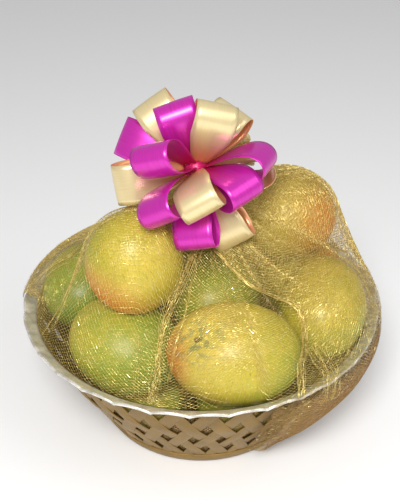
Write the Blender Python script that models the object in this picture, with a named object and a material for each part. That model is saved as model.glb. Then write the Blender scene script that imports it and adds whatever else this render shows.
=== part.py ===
"""A fruit gift basket: a round lattice basket with a scalloped rim, heaped with mangoes.

A gold net covers the fruit. It is gathered to a neck over the heap and tied there with a pull bow
of magenta and gold ribbon. Round most of the basket it is tucked in behind the rim, and at the front
right a loose fold of it hangs over the rim. Metres, +Z up, the origin under the basket's middle.
"""

import math
from collections import namedtuple

import bmesh
import bpy
import numpy as np
from mathutils import Vector

# Basket
COLUMNS = 32
CUSP_BEARING = math.radians(-93.2)
WALL_OUTLINE = (
    (0.000, 0.0850),
    (0.005, 0.0880),
    (0.028, 0.1005),
    (0.050, 0.1135),
    (0.072, 0.1260),
    (0.094, 0.1345),
    (0.104, 0.1380),
)
HOLE_ROWS = (0.094, 0.072, 0.050, 0.028)
HOLE_HALF_HEIGHT = 0.0090
HOLE_HALF_WIDTH = 0.243
WALL_TOP = 0.104
LATTICE_FOOT = 0.014
FOOT_BEVEL_TOP = 0.005
SHEET_THICKNESS = 0.0016
LIP_RADIUS = 0.1495
LIP_SCALLOP = 0.0015
LIP_HEIGHT = 0.1082
LIP_RISE = 0.0042
LIP_MIDDLE_RADIUS = 0.1425
LIP_MIDDLE_HEIGHT = 0.1078

# Mangoes: middle of each, its half length, half width and half height, and its turn and dip in degrees
Mango = namedtuple("Mango", "middle half_sizes turn dip")
MANGOES = (
    Mango((0.026, -0.094, 0.124), (0.0535, 0.042, 0.041), 0, 4),
    Mango((-0.060, -0.065, 0.110), (0.048, 0.042, 0.038), -28, 10),
    Mango((-0.051, -0.054, 0.1815), (0.039, 0.037, 0.043), 20, 0),
    Mango((-0.096, 0.012, 0.115), (0.048, 0.038, 0.036), 68, 0),
    Mango((0.071, 0.025, 0.178), (0.043, 0.039, 0.038), -25, 0),
    Mango((0.098, -0.043, 0.130), (0.049, 0.036, 0.040), 80, 0),
    Mango((0.013, -0.006, 0.118), (0.045, 0.038, 0.036), 60, 0),
    Mango((0.0885, 0.0385, 0.108), (0.044, 0.038, 0.036), -60, 0),
    Mango((-0.046, 0.079, 0.096), (0.044, 0.037, 0.036), 40, 0),
    Mango((0.030, 0.093, 0.114), (0.045, 0.037, 0.035), 5, 0),
    Mango((-0.018, 0.042, 0.160), (0.044, 0.038, 0.036), 0, 0),
)
MANGO_SEGMENTS = 16
MANGO_RINGS = 10
NET_OVER_FRUIT = 0.0012

# Net: rays run from the neck to the edge of the heap, and stations lie along each ray
RAYS = 40
STATIONS = 13
SIDEWAYS_PULL = 0.15
SETTLING_ROUNDS = 500
OVER_RELAXATION = 1.6
NECK_FOOT = (0.006, -0.003, 0.228)
NECK_FOOT_RADIUS = 0.0095
HEAP_RADIUS = 0.1290
TUCK_HEIGHT = 0.1040

# Bed of fruit that the top mangoes lie in, seen between them. The net stands clear of it round the
# neck and on the right, where it lies in several layers
BED_MIDDLE_HEIGHT = 0.126
BED_EDGE_HEIGHT = 0.088
TENT_RADIUS = 0.070
TENT_CURVE = 0.5
LAYERS_BEARING = math.radians(4)
LAYERS_SPREAD = math.radians(58)
LAYERS_SHARE = 0.85
BOWL_GAP = 0.0016
BOWL_FLOOR = 0.0023
BOWL_FLOOR_SHARE = 0.96
BOWL_HEIGHTS = (0.084, 0.066, 0.046, 0.026, 0.007)

# Loose fold of net over the rim: its columns stand at the rim's cusps and halfway between them. Its
# line over the rim is given as radius and height, and below that it hangs to its lower edge
NET_THICKNESS = 0.0010
FOLD_COLUMNS = range(4, 22)
FOLD_OVER_RIM = (
    (0.1150, 0.1000),
    (0.1335, 0.1128),
    (0.1400, 0.1149),
    (0.1498, 0.1149),
    (0.1515, 0.1134),
    (0.1515, 0.1085),
)
FOLD_STEPS = 7
FOLD_EDGE_RADIUS = 0.0905
FOLD_EDGE_HEIGHT = 0.003
FOLD_EDGE_RISE = 0.030
SLACK = 0.012
SLACK_BEARING = math.radians(-34)
SLACK_SPREAD = math.radians(28)
SLACK_DROP = 0.7

# Neck and frill of the net: middle of each ring, its radius and how deep its pleats are
Ring = namedtuple("Ring", "middle radius pleat lean")
NECK_RINGS = (
    Ring((0.0050, -0.0025, 0.2340), 0.0070, 0.00, 0.0),
    Ring((0.0044, -0.0020, 0.2382), 0.0062, 0.00, 0.0),
    Ring((0.0046, -0.0018, 0.2438), 0.0062, 0.00, 0.0),
    Ring((0.0085, 0.0015, 0.2492), 0.0090, 0.10, 0.3),
    Ring((0.0180, 0.0090, 0.2505), 0.0140, 0.18, 0.9),
    Ring((0.0300, 0.0170, 0.2510), 0.0190, 0.25, 1.0),
)
FRILL_WAY = (0.80, 0.50, 0.33)
PLEATS = 8

# Bow: its middle, the tilt of its face from level, and one row for each loop of ribbon
BOW_MIDDLE = (-0.0036, -0.0207, 0.2450)
FACE_TILT = math.radians(35.8)
KNOT_RADIUS = 0.0098
TIE_MIDDLE = (0.0045, -0.0019, 0.2409)
TIE_INNER_RADIUS = 0.0070
TIE_OUTER_RADIUS = 0.0104
TIE_HEIGHT = 0.005
TIE_SIDES = 32
RIBBON_WIDTH = 0.030
RIBBON_WIDTH_AT_KNOT = 0.0045
RIBBON_THICKNESS = 0.0006
LOOP_BULGE = 0.0175
LOOP_PINCH = 2.0
LOOP_FROM = 0.0100
LOOP_STEPS = 18
WIDE_FROM = 0.72

# Each loop: where its tip points and where its edge runs, as a bearing in the bow's face and a lift
# from it towards the front, in degrees
Loop = namedtuple("Loop", "name colour bearing lift edge_bearing edge_lift length")
LOOPS = (
    Loop("top", "magenta", 111.9, 41.7, 203.3, -7.4, 0.0582),
    Loop("upper_left_gold", "gold", 124.7, 5, 147.3, 1, 0.0620),
    Loop("upper_left", "magenta", 154.3, -13.5, 223, -15.7, 0.0653),
    Loop("left_gold", "gold", 175.6, -48.3, 253, -9.2, 0.0626),
    Loop("left_front", "magenta", 180.9, 62.1, 186.1, -25.8, 0.0699),
    Loop("lower_left_gold", "gold", 193.6, 10.7, 283.1, -18.8, 0.0630),
    Loop("lower_left", "magenta", 235.9, 44.3, 172.3, -61.1, 0.0702),
    Loop("bottom", "magenta", 270.6, 13.3, 355.6, 19, 0.0631),
    Loop("front_gold", "gold", 275.8, 56.7, 203.3, -22.7, 0.0659),
    Loop("bottom_gold", "gold", 300.2, -11.9, 42.7, 19.3, 0.0660),
    Loop("lower_right", "magenta", 326.4, 40.9, 81.7, -47.8, 0.0597),
    Loop("right", "magenta", 0.6, 27, 322.3, 58.1, 0.0604),
    Loop("right_gold", "gold", 1.5, -9.1, 245.5, 57.3, 0.0586),
    Loop("upper_right_gold", "gold", 65.8, 53.6, 42.4, 46.2, 0.0651),
    Loop("far_right_gold", "gold", 54.8, 8.3, 314.8, 8.7, 0.0535),
)


def clear_scene():
    for thing in list(bpy.data.objects):
        bpy.data.objects.remove(thing, do_unlink=True)


def material(name, colour, roughness, metallic):
    finish = bpy.data.materials.new(name)
    finish.use_nodes = True
    shader = finish.node_tree.nodes["Principled BSDF"]
    shader.inputs["Base Color"].default_value = (*colour, 1)
    shader.inputs["Roughness"].default_value = roughness
    shader.inputs["Metallic"].default_value = metallic
    return finish


def add_mesh(name, points, faces, finish, smooth=True):
    mesh = bpy.data.meshes.new(name)
    mesh.from_pydata([tuple(map(float, point)) for point in points], [], faces)
    mesh.materials.append(finish)
    mesh.validate()
    if smooth:
        mesh.shade_smooth()
        mesh.set_sharp_from_angle(angle=math.radians(40))
    thing = bpy.data.objects.new(name, mesh)
    bpy.context.collection.objects.link(thing)
    return thing


def wall_radius(height):
    """Outer radius of the basket's wall at a height."""
    heights, radii = zip(*WALL_OUTLINE)
    return float(np.interp(height, heights, radii))


def scallop(bearing):
    """0 at the rim's cusps, rising to 1 in the middle of each scallop."""
    return abs(math.sin((bearing - CUSP_BEARING) * COLUMNS / 2)) ** 0.7


class Sheet:
    """Points and faces of the basket's sheet, as they are added."""

    def __init__(self):
        self.points = []
        self.faces = []

    def point(self, bearing, radius, height):
        self.points.append((radius * math.cos(bearing), radius * math.sin(bearing), height))
        return len(self.points) - 1

    def ring(self, count, outline):
        """A ring of points; outline gives the radius and height at each bearing."""
        step = 2 * math.pi / count
        bearings = [CUSP_BEARING + step * i for i in range(count)]
        return [self.point(bearing, *outline(bearing)) for bearing in bearings]

    def join(self, lower, upper):
        count = len(lower)
        for i in range(count):
            after = (i + 1) % count
            self.faces.append((lower[i], lower[after], upper[after], upper[i]))


def lattice_holes(sheet):
    """The corners of every hole, as rows of (left, top, right, bottom); odd rows stand half a column on."""
    step = 2 * math.pi / COLUMNS
    rows = []
    for row, middle in enumerate(HOLE_ROWS):
        holes = []
        for column in range(COLUMNS):
            bearing = CUSP_BEARING + step * (column + 0.5 * (row % 2))
            side = step * HOLE_HALF_WIDTH
            low, high = middle - HOLE_HALF_HEIGHT, middle + HOLE_HALF_HEIGHT
            holes.append((
                sheet.point(bearing - side, wall_radius(middle), middle),
                sheet.point(bearing, wall_radius(high), high),
                sheet.point(bearing + side, wall_radius(middle), middle),
                sheet.point(bearing, wall_radius(low), low),
            ))
        rows.append(holes)
    return rows


def weave_lattice(sheet, rows, top_ring, foot_ring):
    """Crossings between the holes, the strips that join them, and the bands that meet the rings."""
    last = len(rows) - 1
    for row, holes in enumerate(rows):
        odd = row % 2
        for column, (left, top, right, bottom) in enumerate(holes):
            half_steps = 2 * column + odd
            over = (column + odd) % COLUMNS
            next_left = holes[(column + 1) % COLUMNS][0]
            above = rows[row - 1][over][3] if row > 0 else top_ring[(2 * half_steps + 2) % len(top_ring)]
            below = rows[row + 1][over][1] if row < last else foot_ring[(half_steps + 1) % len(foot_ring)]
            sheet.faces.append((right, below, next_left, above))
            if row == 0:
                ring = [top_ring[(2 * half_steps + i) % len(top_ring)] for i in range(-2, 3)]
                sheet.faces.append((left, top, ring[2], ring[1], ring[0]))
                sheet.faces.append((top, right, ring[4], ring[3], ring[2]))
            if row < last:
                low_right = rows[row + 1][over]
                low_left = rows[row + 1][over - 1]
                sheet.faces.append((bottom, low_right[0], low_right[1], right))
                sheet.faces.append((left, low_left[1], low_left[2], bottom))
            else:
                ring = [foot_ring[(half_steps + i) % len(foot_ring)] for i in range(-1, 2)]
                sheet.faces.append((ring[0], ring[1], bottom, left))
                sheet.faces.append((ring[1], ring[2], right, bottom))


def lip_outline(bearing):
    """Radius and height of the lip's edge, which is scalloped upwards and a little outwards."""
    return LIP_RADIUS + LIP_SCALLOP * scallop(bearing), LIP_HEIGHT + LIP_RISE * scallop(bearing)


def basket(finish):
    sheet = Sheet()
    lip = sheet.ring(4 * COLUMNS, lip_outline)
    lip_middle = sheet.ring(4 * COLUMNS, lambda b: (LIP_MIDDLE_RADIUS, LIP_MIDDLE_HEIGHT))
    top = sheet.ring(4 * COLUMNS, lambda b: (wall_radius(WALL_TOP), WALL_TOP))
    foot = sheet.ring(2 * COLUMNS, lambda b: (wall_radius(LATTICE_FOOT), LATTICE_FOOT))
    bevel = sheet.ring(2 * COLUMNS, lambda b: (wall_radius(FOOT_BEVEL_TOP), FOOT_BEVEL_TOP))
    base = sheet.ring(2 * COLUMNS, lambda b: (wall_radius(0), 0))
    weave_lattice(sheet, lattice_holes(sheet), top, foot)
    sheet.join(top, lip_middle)
    sheet.join(lip_middle, lip)
    sheet.join(bevel, foot)
    sheet.join(base, bevel)
    sheet.faces.append(tuple(reversed(base)))
    thing = add_mesh("basket", sheet.points, sheet.faces, finish)
    solidify = thing.modifiers.new("sheet thickness", "SOLIDIFY")
    solidify.thickness = SHEET_THICKNESS
    solidify.offset = -1
    return thing


def mango_turn(mango):
    """Rotation matrix of a mango: its dip about its width, then its turn about the vertical."""
    turn, dip = math.radians(mango.turn), math.radians(mango.dip)
    about_z = np.array([[math.cos(turn), -math.sin(turn), 0], [math.sin(turn), math.cos(turn), 0], [0, 0, 1]])
    about_y = np.array([[math.cos(dip), 0, math.sin(dip)], [0, 1, 0], [-math.sin(dip), 0, math.cos(dip)]])
    return about_z @ about_y


def fruit_height(x, y):
    """Height of the highest mango over each (x, y), with the net's thickness over it."""
    highest = np.zeros_like(x)
    for mango in MANGOES:
        turn = mango_turn(mango)
        spread = turn @ np.diag(1 / (np.array(mango.half_sizes) + NET_OVER_FRUIT) ** 2) @ turn.T
        dx, dy = x - mango.middle[0], y - mango.middle[1]
        slope = spread[0, 2] * dx + spread[1, 2] * dy
        rest = spread[0, 0] * dx**2 + 2 * spread[0, 1] * dx * dy + spread[1, 1] * dy**2 - 1
        inside = slope**2 - spread[2, 2] * rest
        top = mango.middle[2] + (np.sqrt(np.maximum(inside, 0)) - slope) / spread[2, 2]
        highest = np.where(inside > 0, np.maximum(highest, top), highest)
    return highest


def stretched_net(bearings):
    """x, y and z of the net from the neck to the edge of the heap, pulled tight over the fruit."""
    share = np.linspace(0, 1, STATIONS + 1)[:, None]
    inner_x = NECK_FOOT[0] + NECK_FOOT_RADIUS * np.cos(bearings)
    inner_y = NECK_FOOT[1] + NECK_FOOT_RADIUS * np.sin(bearings)
    x = (1 - share) * inner_x + share * HEAP_RADIUS * np.cos(bearings)
    y = (1 - share) * inner_y + share * HEAP_RADIUS * np.sin(bearings)
    fruit = fruit_height(x, y)
    z = (1 - share) * NECK_FOOT[2] + share * TUCK_HEIGHT + 0 * x
    step = np.hypot(x[1:] - x[:-1], y[1:] - y[:-1])
    width = np.hypot(np.roll(x, -1, 1) - x, np.roll(y, -1, 1) - y)
    along = (width[1:] + width[:-1]) / 2 / step
    across = SIDEWAYS_PULL * (step[1:] + step[:-1]) / 2 / width[1:-1]
    before = np.roll(across, 1, 1)
    total = along[:-1] + along[1:] + across + before
    chequer = np.add.outer(np.arange(STATIONS - 1), np.arange(len(bearings))) % 2
    for _ in range(SETTLING_ROUNDS):
        for colour in (0, 1):
            middle = z[1:-1]
            pull = along[:-1] * z[:-2] + along[1:] * z[2:]
            pull = pull + across * np.roll(middle, -1, 1) + before * np.roll(middle, 1, 1)
            moved = np.maximum(middle + OVER_RELAXATION * (pull / total - middle), fruit[1:-1])
            z[1:-1] = np.where(chequer == colour, moved, middle)
    return x, y, z


def bell(bearing, middle, spread):
    """1 round the middle bearing, falling to 0 beyond the spread."""
    turn = (bearing - middle + math.pi) % (2 * math.pi) - math.pi
    return np.exp(-((turn / spread) ** 4))


def heap_rings(bearings):
    """Rings of points over the heap: the net near the neck and in its layers, the bed of fruit elsewhere."""
    x, y, z = stretched_net(bearings)
    bed = BED_MIDDLE_HEIGHT - (BED_MIDDLE_HEIGHT - BED_EDGE_HEIGHT) * (x**2 + y**2) / HEAP_RADIUS**2
    out = np.hypot(x - NECK_FOOT[0], y - NECK_FOOT[1]) - NECK_FOOT_RADIUS
    opened = np.clip(out / TENT_RADIUS, 0, 1) ** TENT_CURVE
    opened = opened * (1 - LAYERS_SHARE * bell(bearings, LAYERS_BEARING, LAYERS_SPREAD))
    z = z - opened * np.maximum(z - bed, 0)
    return [np.stack([x[i], y[i], z[i]], 1) for i in range(STATIONS + 1)]


def level_ring(bearings, radius, height):
    radius = np.broadcast_to(radius, bearings.shape)
    height = np.broadcast_to(height, bearings.shape)
    return np.stack([radius * np.cos(bearings), radius * np.sin(bearings), height], 1)


def neck_ring(bearings, ring):
    """A ring of the neck or the frill: it leans over towards the frill's way and is pleated."""
    up = Vector((0, 0, 1))
    normal = (1 - ring.lean) * up + ring.lean * Vector(FRILL_WAY).normalized()
    turn = np.array(up.rotation_difference(normal).to_matrix())
    radius = ring.radius * (1 + ring.pleat * np.cos(PLEATS * bearings))
    return level_ring(bearings, radius, 0) @ turn.T + ring.middle


def add_rings(name, first, rings, last, finish):
    """A closed body: its top point, rings of as many points each from the top down, and its lowest point."""
    count = len(rings[0])
    points = [first]
    for ring in rings:
        points += list(ring)
    points.append(last)
    faces = []
    for k in range(count):
        after = (k + 1) % count
        faces.append((0, 1 + k, 1 + after))
        for i in range(len(rings) - 1):
            start, following = 1 + i * count, 1 + (i + 1) * count
            faces.append((start + k, following + k, following + after))
            faces.append((start + k, following + after, start + after))
        start = 1 + (len(rings) - 1) * count
        faces.append((start + k, len(points) - 1, start + after))
    return add_mesh(name, points, faces, finish)


def heap(finish):
    """The bed of fruit inside the basket, with the net's frill, its neck and its layers on the right."""
    bearings = 2 * math.pi * np.arange(RAYS) / RAYS
    rings = [neck_ring(bearings, ring) for ring in reversed(NECK_RINGS)]
    rings += heap_rings(bearings)
    for height in BOWL_HEIGHTS:
        rings.append(level_ring(bearings, wall_radius(height) - SHEET_THICKNESS - BOWL_GAP, height))
    rings.append(rings[-1] * (BOWL_FLOOR_SHARE, BOWL_FLOOR_SHARE, 0) + (0, 0, BOWL_FLOOR))
    return add_rings("netted_mangoes", NECK_RINGS[-1].middle, rings, (0, 0, BOWL_FLOOR), finish)


def mango_body(number, mango, finish):
    turn = mango_turn(mango)
    bearings = 2 * math.pi * np.arange(MANGO_SEGMENTS) / MANGO_SEGMENTS
    rings = []
    for i in range(MANGO_RINGS + 1):
        polar = math.pi * i / MANGO_RINGS
        ring = level_ring(bearings, math.sin(polar), math.cos(polar))
        rings.append((ring * mango.half_sizes) @ turn.T + mango.middle)
    return add_rings(f"mango_{number}", rings[0][0], rings[1:-1], rings[-1][0], finish)


def fold_line(bearing, across):
    """The fold's inner face as radius and height, down to its edge. Across is -1 and 1 at its sides."""
    lowest = FOLD_EDGE_HEIGHT + FOLD_EDGE_RISE * across**4
    rim_radius, rim_height = FOLD_OVER_RIM[-1]
    line = list(FOLD_OVER_RIM)
    for step in range(1, FOLD_STEPS + 1):
        height = rim_height + (lowest - rim_height) * step / FOLD_STEPS
        down = (rim_height - height) / (rim_height - FOLD_EDGE_HEIGHT)
        taut = rim_radius + (FOLD_EDGE_RADIUS - rim_radius) * down
        bulge = SLACK * bell(bearing, SLACK_BEARING, SLACK_SPREAD) * math.sin(math.pi * down**SLACK_DROP)
        line.append((taut + bulge, height))
    return np.array(line)


def loose_fold(finish):
    """The fold of net that comes out of the heap, lies over the rim and hangs down outside it."""
    bearings = [CUSP_BEARING + math.pi / COLUMNS * column for column in FOLD_COLUMNS]
    points = []
    for bearing, across in zip(bearings, np.linspace(-1, 1, len(bearings))):
        inner = fold_line(bearing, across)
        along = np.gradient(inner, axis=0)
        normal = np.stack([-along[:, 1], along[:, 0]], 1) / np.linalg.norm(along, axis=1)[:, None]
        for line in (inner, inner + NET_THICKNESS * normal):
            for radius, height in line:
                points.append((radius * math.cos(bearing), radius * math.sin(bearing), height))
    length = len(points) // len(bearings) // 2
    faces = []
    for k in range(len(bearings) - 1):
        near, far = 2 * length * k, 2 * length * (k + 1)
        for i in range(length - 1):
            faces.append((near + i, far + i, far + i + 1))
            faces.append((near + i, far + i + 1, near + i + 1))
            faces.append((near + length + i, far + length + i + 1, far + length + i))
            faces.append((near + length + i, near + length + i + 1, far + length + i + 1))
        faces.append((near, near + length, far + length, far))
        faces.append((near + length - 1, far + length - 1, far + 2 * length - 1, near + 2 * length - 1))
    end = 2 * length * (len(bearings) - 1)
    for i in range(length - 1):
        faces.append((i, i + 1, length + i + 1, length + i))
        faces.append((end + i, end + length + i, end + length + i + 1, end + i + 1))
    return add_mesh("loose_fold", points, faces, finish)


def fuse(body, others):
    """Joins the others to the body as one solid. A hollow that this closes in is filled."""
    together = bpy.data.collections.new("fused")
    bpy.context.scene.collection.children.link(together)
    for other in others:
        bpy.context.collection.objects.unlink(other)
        together.objects.link(other)
    union = body.modifiers.new("fused", "BOOLEAN")
    union.operation = "UNION"
    union.operand_type = "COLLECTION"
    union.collection = together
    union.solver = "EXACT"
    bpy.context.view_layer.objects.active = body
    bpy.ops.object.modifier_apply(modifier=union.name)
    for other in others:
        bpy.data.objects.remove(other, do_unlink=True)
    bpy.data.collections.remove(together)
    keep_outer_shell(body.data)


def keep_outer_shell(mesh):
    """Removes every closed shell inside the one that holds the highest point."""
    shape = bmesh.new()
    shape.from_mesh(mesh)
    found = {max(shape.verts, key=lambda vertex: vertex.co.z)}
    waiting = list(found)
    while waiting:
        for edge in waiting.pop().link_edges:
            for vertex in edge.verts:
                if vertex not in found:
                    found.add(vertex)
                    waiting.append(vertex)
    hollows = [vertex for vertex in shape.verts if vertex not in found]
    bmesh.ops.delete(shape, geom=hollows, context="VERTS")
    shape.to_mesh(mesh)
    shape.free()


def netted_mangoes(finish):
    """The heap with its top mangoes at their true size and the loose fold of the net, as one solid."""
    body = heap(finish)
    others = [mango_body(number, mango, finish) for number, mango in enumerate(MANGOES)]
    others.append(loose_fold(finish))
    fuse(body, others)


def face_way(bearing, lift):
    """A direction from a bearing in the bow's face and a lift towards its front, in degrees."""
    bearing, lift = math.radians(bearing), math.radians(lift)
    right = np.array([1.0, 0, 0])
    up = np.array([0, math.sin(FACE_TILT), math.cos(FACE_TILT)])
    front = np.array([0, -math.cos(FACE_TILT), math.sin(FACE_TILT)])
    return math.cos(lift) * (math.cos(bearing) * right + math.sin(bearing) * up) + math.sin(lift) * front


def ribbon_loop(loop, finish):
    """A band bent into a teardrop: out from the knot, round at the tip and back, narrow at the knot."""
    out = face_way(loop.bearing, loop.lift)
    edge = face_way(loop.edge_bearing, loop.edge_lift)
    edge = edge - edge.dot(out) * out
    edge /= np.linalg.norm(edge)
    side = np.cross(out, edge)
    start = math.acos(1 - 2 * LOOP_FROM / loop.length)
    points = []
    for i in range(LOOP_STEPS + 1):
        turn = start + (2 * math.pi - 2 * start) * i / LOOP_STEPS
        half = math.sin(turn / 2)
        along = loop.length * (1 - math.cos(turn)) / 2
        across = LOOP_BULGE * math.sin(turn) * half**LOOP_PINCH
        along_slope = loop.length * math.sin(turn) / 2
        narrowing = LOOP_PINCH * half ** (LOOP_PINCH - 1) * math.cos(turn / 2) / 2
        across_slope = LOOP_BULGE * (half**LOOP_PINCH * math.cos(turn) + math.sin(turn) * narrowing)
        slope = math.hypot(along_slope, across_slope)
        normal = (across_slope * out - along_slope * side) / slope
        share = min(along / loop.length / WIDE_FROM, 1) ** 0.8
        half_width = (RIBBON_WIDTH_AT_KNOT + (RIBBON_WIDTH - RIBBON_WIDTH_AT_KNOT) * share) / 2
        middle = np.array(BOW_MIDDLE) + along * out + across * side
        for sign, face in ((-1, -1), (1, -1), (1, 1), (-1, 1)):
            points.append(middle + sign * half_width * edge + face * RIBBON_THICKNESS / 2 * normal)
    faces = [(0, 1, 2, 3)]
    for i in range(LOOP_STEPS):
        for k in range(4):
            faces.append((4 * i + k, 4 * i + 4 + k, 4 * i + 4 + (k + 1) % 4, 4 * i + (k + 1) % 4))
    end = 4 * LOOP_STEPS
    faces.append((end, end + 3, end + 2, end + 1))
    return add_mesh(f"ribbon_loop_{loop.name}", points, faces, finish)


def neck_tie(finish):
    """The ribbon wound round the net's neck, which holds it shut and carries the bow."""
    low, high = -TIE_HEIGHT / 2, TIE_HEIGHT / 2
    inner, outer = TIE_INNER_RADIUS, TIE_OUTER_RADIUS
    corners = ((inner, low), (outer, low), (outer, high), (inner, high))
    points = []
    faces = []
    for i in range(TIE_SIDES):
        bearing = 2 * math.pi * i / TIE_SIDES
        start, following = 4 * i, 4 * ((i + 1) % TIE_SIDES)
        for k, (radius, height) in enumerate(corners):
            spot = (radius * math.cos(bearing), radius * math.sin(bearing), height)
            points.append(np.array(TIE_MIDDLE) + np.array(spot))
            after = (k + 1) % 4
            faces.append((start + k, following + k, following + after, start + after))
    return add_mesh("neck_tie", points, faces, finish)


def bow_knot(finish):
    """The pinched middle of the bow, where the ribbon's loops meet."""
    bpy.ops.mesh.primitive_uv_sphere_add(segments=16, ring_count=10, radius=KNOT_RADIUS, location=BOW_MIDDLE)
    knot = bpy.context.object
    knot.name = "bow_knot"
    knot.data.materials.append(finish)
    knot.data.shade_smooth()
    return knot


def main():
    clear_scene()
    tan = material("champagne plated steel", (0.42, 0.27, 0.14), 0.4, 0.8)
    net = material("gold net over mangoes", (0.50, 0.42, 0.10), 0.4, 0.3)
    ribbons = {
        "magenta": material("magenta satin ribbon", (0.62, 0.01, 0.45), 0.3, 0.0),
        "gold": material("pale gold satin ribbon", (0.80, 0.62, 0.33), 0.3, 0.2),
    }
    basket(tan)
    netted_mangoes(net)
    neck_tie(ribbons["magenta"])
    bow_knot(ribbons["magenta"])
    for loop in LOOPS:
        ribbon_loop(loop, ribbons[loop.colour])


main()
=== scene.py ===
"""Finishes the fruit gift basket: mangoes heaped in a woven basket under a gold net, tied with a ribbon bow.

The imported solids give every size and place. Metres, +Z up, and -Y is the front, which the bow faces.
"""

import math
from collections import namedtuple

import bpy
import numpy as np
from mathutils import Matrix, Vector


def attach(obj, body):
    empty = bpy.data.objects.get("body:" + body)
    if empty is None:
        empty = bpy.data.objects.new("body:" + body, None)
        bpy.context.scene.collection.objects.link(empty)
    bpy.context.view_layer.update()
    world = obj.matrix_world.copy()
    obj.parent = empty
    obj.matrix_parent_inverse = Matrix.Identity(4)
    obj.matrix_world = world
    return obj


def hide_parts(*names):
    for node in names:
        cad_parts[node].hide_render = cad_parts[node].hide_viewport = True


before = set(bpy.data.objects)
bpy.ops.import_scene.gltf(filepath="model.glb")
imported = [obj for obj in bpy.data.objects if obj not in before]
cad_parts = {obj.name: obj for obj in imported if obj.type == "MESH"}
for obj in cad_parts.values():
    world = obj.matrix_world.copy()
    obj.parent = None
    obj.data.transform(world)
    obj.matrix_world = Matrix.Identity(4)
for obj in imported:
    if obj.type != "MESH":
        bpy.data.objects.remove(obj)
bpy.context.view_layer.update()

# Camera, in the photograph's frame of 400 by 500
CAMERA_AIM = (0, 0, 0.110)
CAMERA_DISTANCE = 0.80
CAMERA_DIP = math.radians(35.8)
FOCAL_PIXELS = 934.4
PICTURE_LONG_SIDE = 500
AIM_PIXEL = (200.75, 297.24)
PICTURE_MIDDLE = (200, 250)
SENSOR = 36

# Basket
COLUMNS = 32
CUSP_BEARING = math.radians(-93.2)
WALL_HEIGHTS = (0.000, 0.005, 0.028, 0.050, 0.072, 0.094, 0.104)
WALL_RADII = (0.0850, 0.0880, 0.1005, 0.1135, 0.1260, 0.1345, 0.1380)
TOP_HOLES = 0.094
HOLE_ROW_PITCH = 0.022
STRIP_SHARE = 0.275
STRIP_THICKNESS = 0.0011
STRIP_CROWN = 0.0004
WEAVE_DEPTH = 0.0006
STRIP_FOOT = 0.010
STRIP_TOP = 0.1025
STRIP_STEPS = 44
STRIP_POINTS = 5
STRIP_BEVEL = 0.0003
# The lip's scallops are gentler than in the solids
LIP_RADIUS = 0.1495
LIP_SCALLOP = 0.0008
LIP_HEIGHT = 0.1082
LIP_RISE = 0.0032
LIP_BEAD = 0.0013
BEAD_LIFT = 0.0008
BEAD_ANGLES = range(-120, 121, 30)
RIM_STEPS = 12 * COLUMNS
# Section of the flange below and above the bead: radius, height, and the share of the scallop it follows
FLANGE_BELOW = ((0.1368, 0.1005, 0.0), (0.1384, 0.1005, 0.0), (0.1388, 0.1040, 0.0), (0.1430, 0.1075, 0.2))
FLANGE_ABOVE = ((0.1455, 0.1094, 0.45), (0.1415, 0.1088, 0.1), (0.1378, 0.1056, 0.0), (0.1368, 0.1035, 0.0))
# Section of the foot, from under the base round the outside and back inside: radius and height
FOOT_OUTLINE = (
    (0.0835, 0.0),
    (0.0850, 0.0002),
    (0.0868, 0.0020),
    (0.0882, 0.0050),
    (0.0932, 0.0140),
    (0.0926, 0.0146),
    (0.0916, 0.0140),
    (0.0868, 0.0055),
    (0.0840, 0.0018),
)
FOOT_SEGMENTS = 128
BASE_THICKNESS = 0.0018

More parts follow.
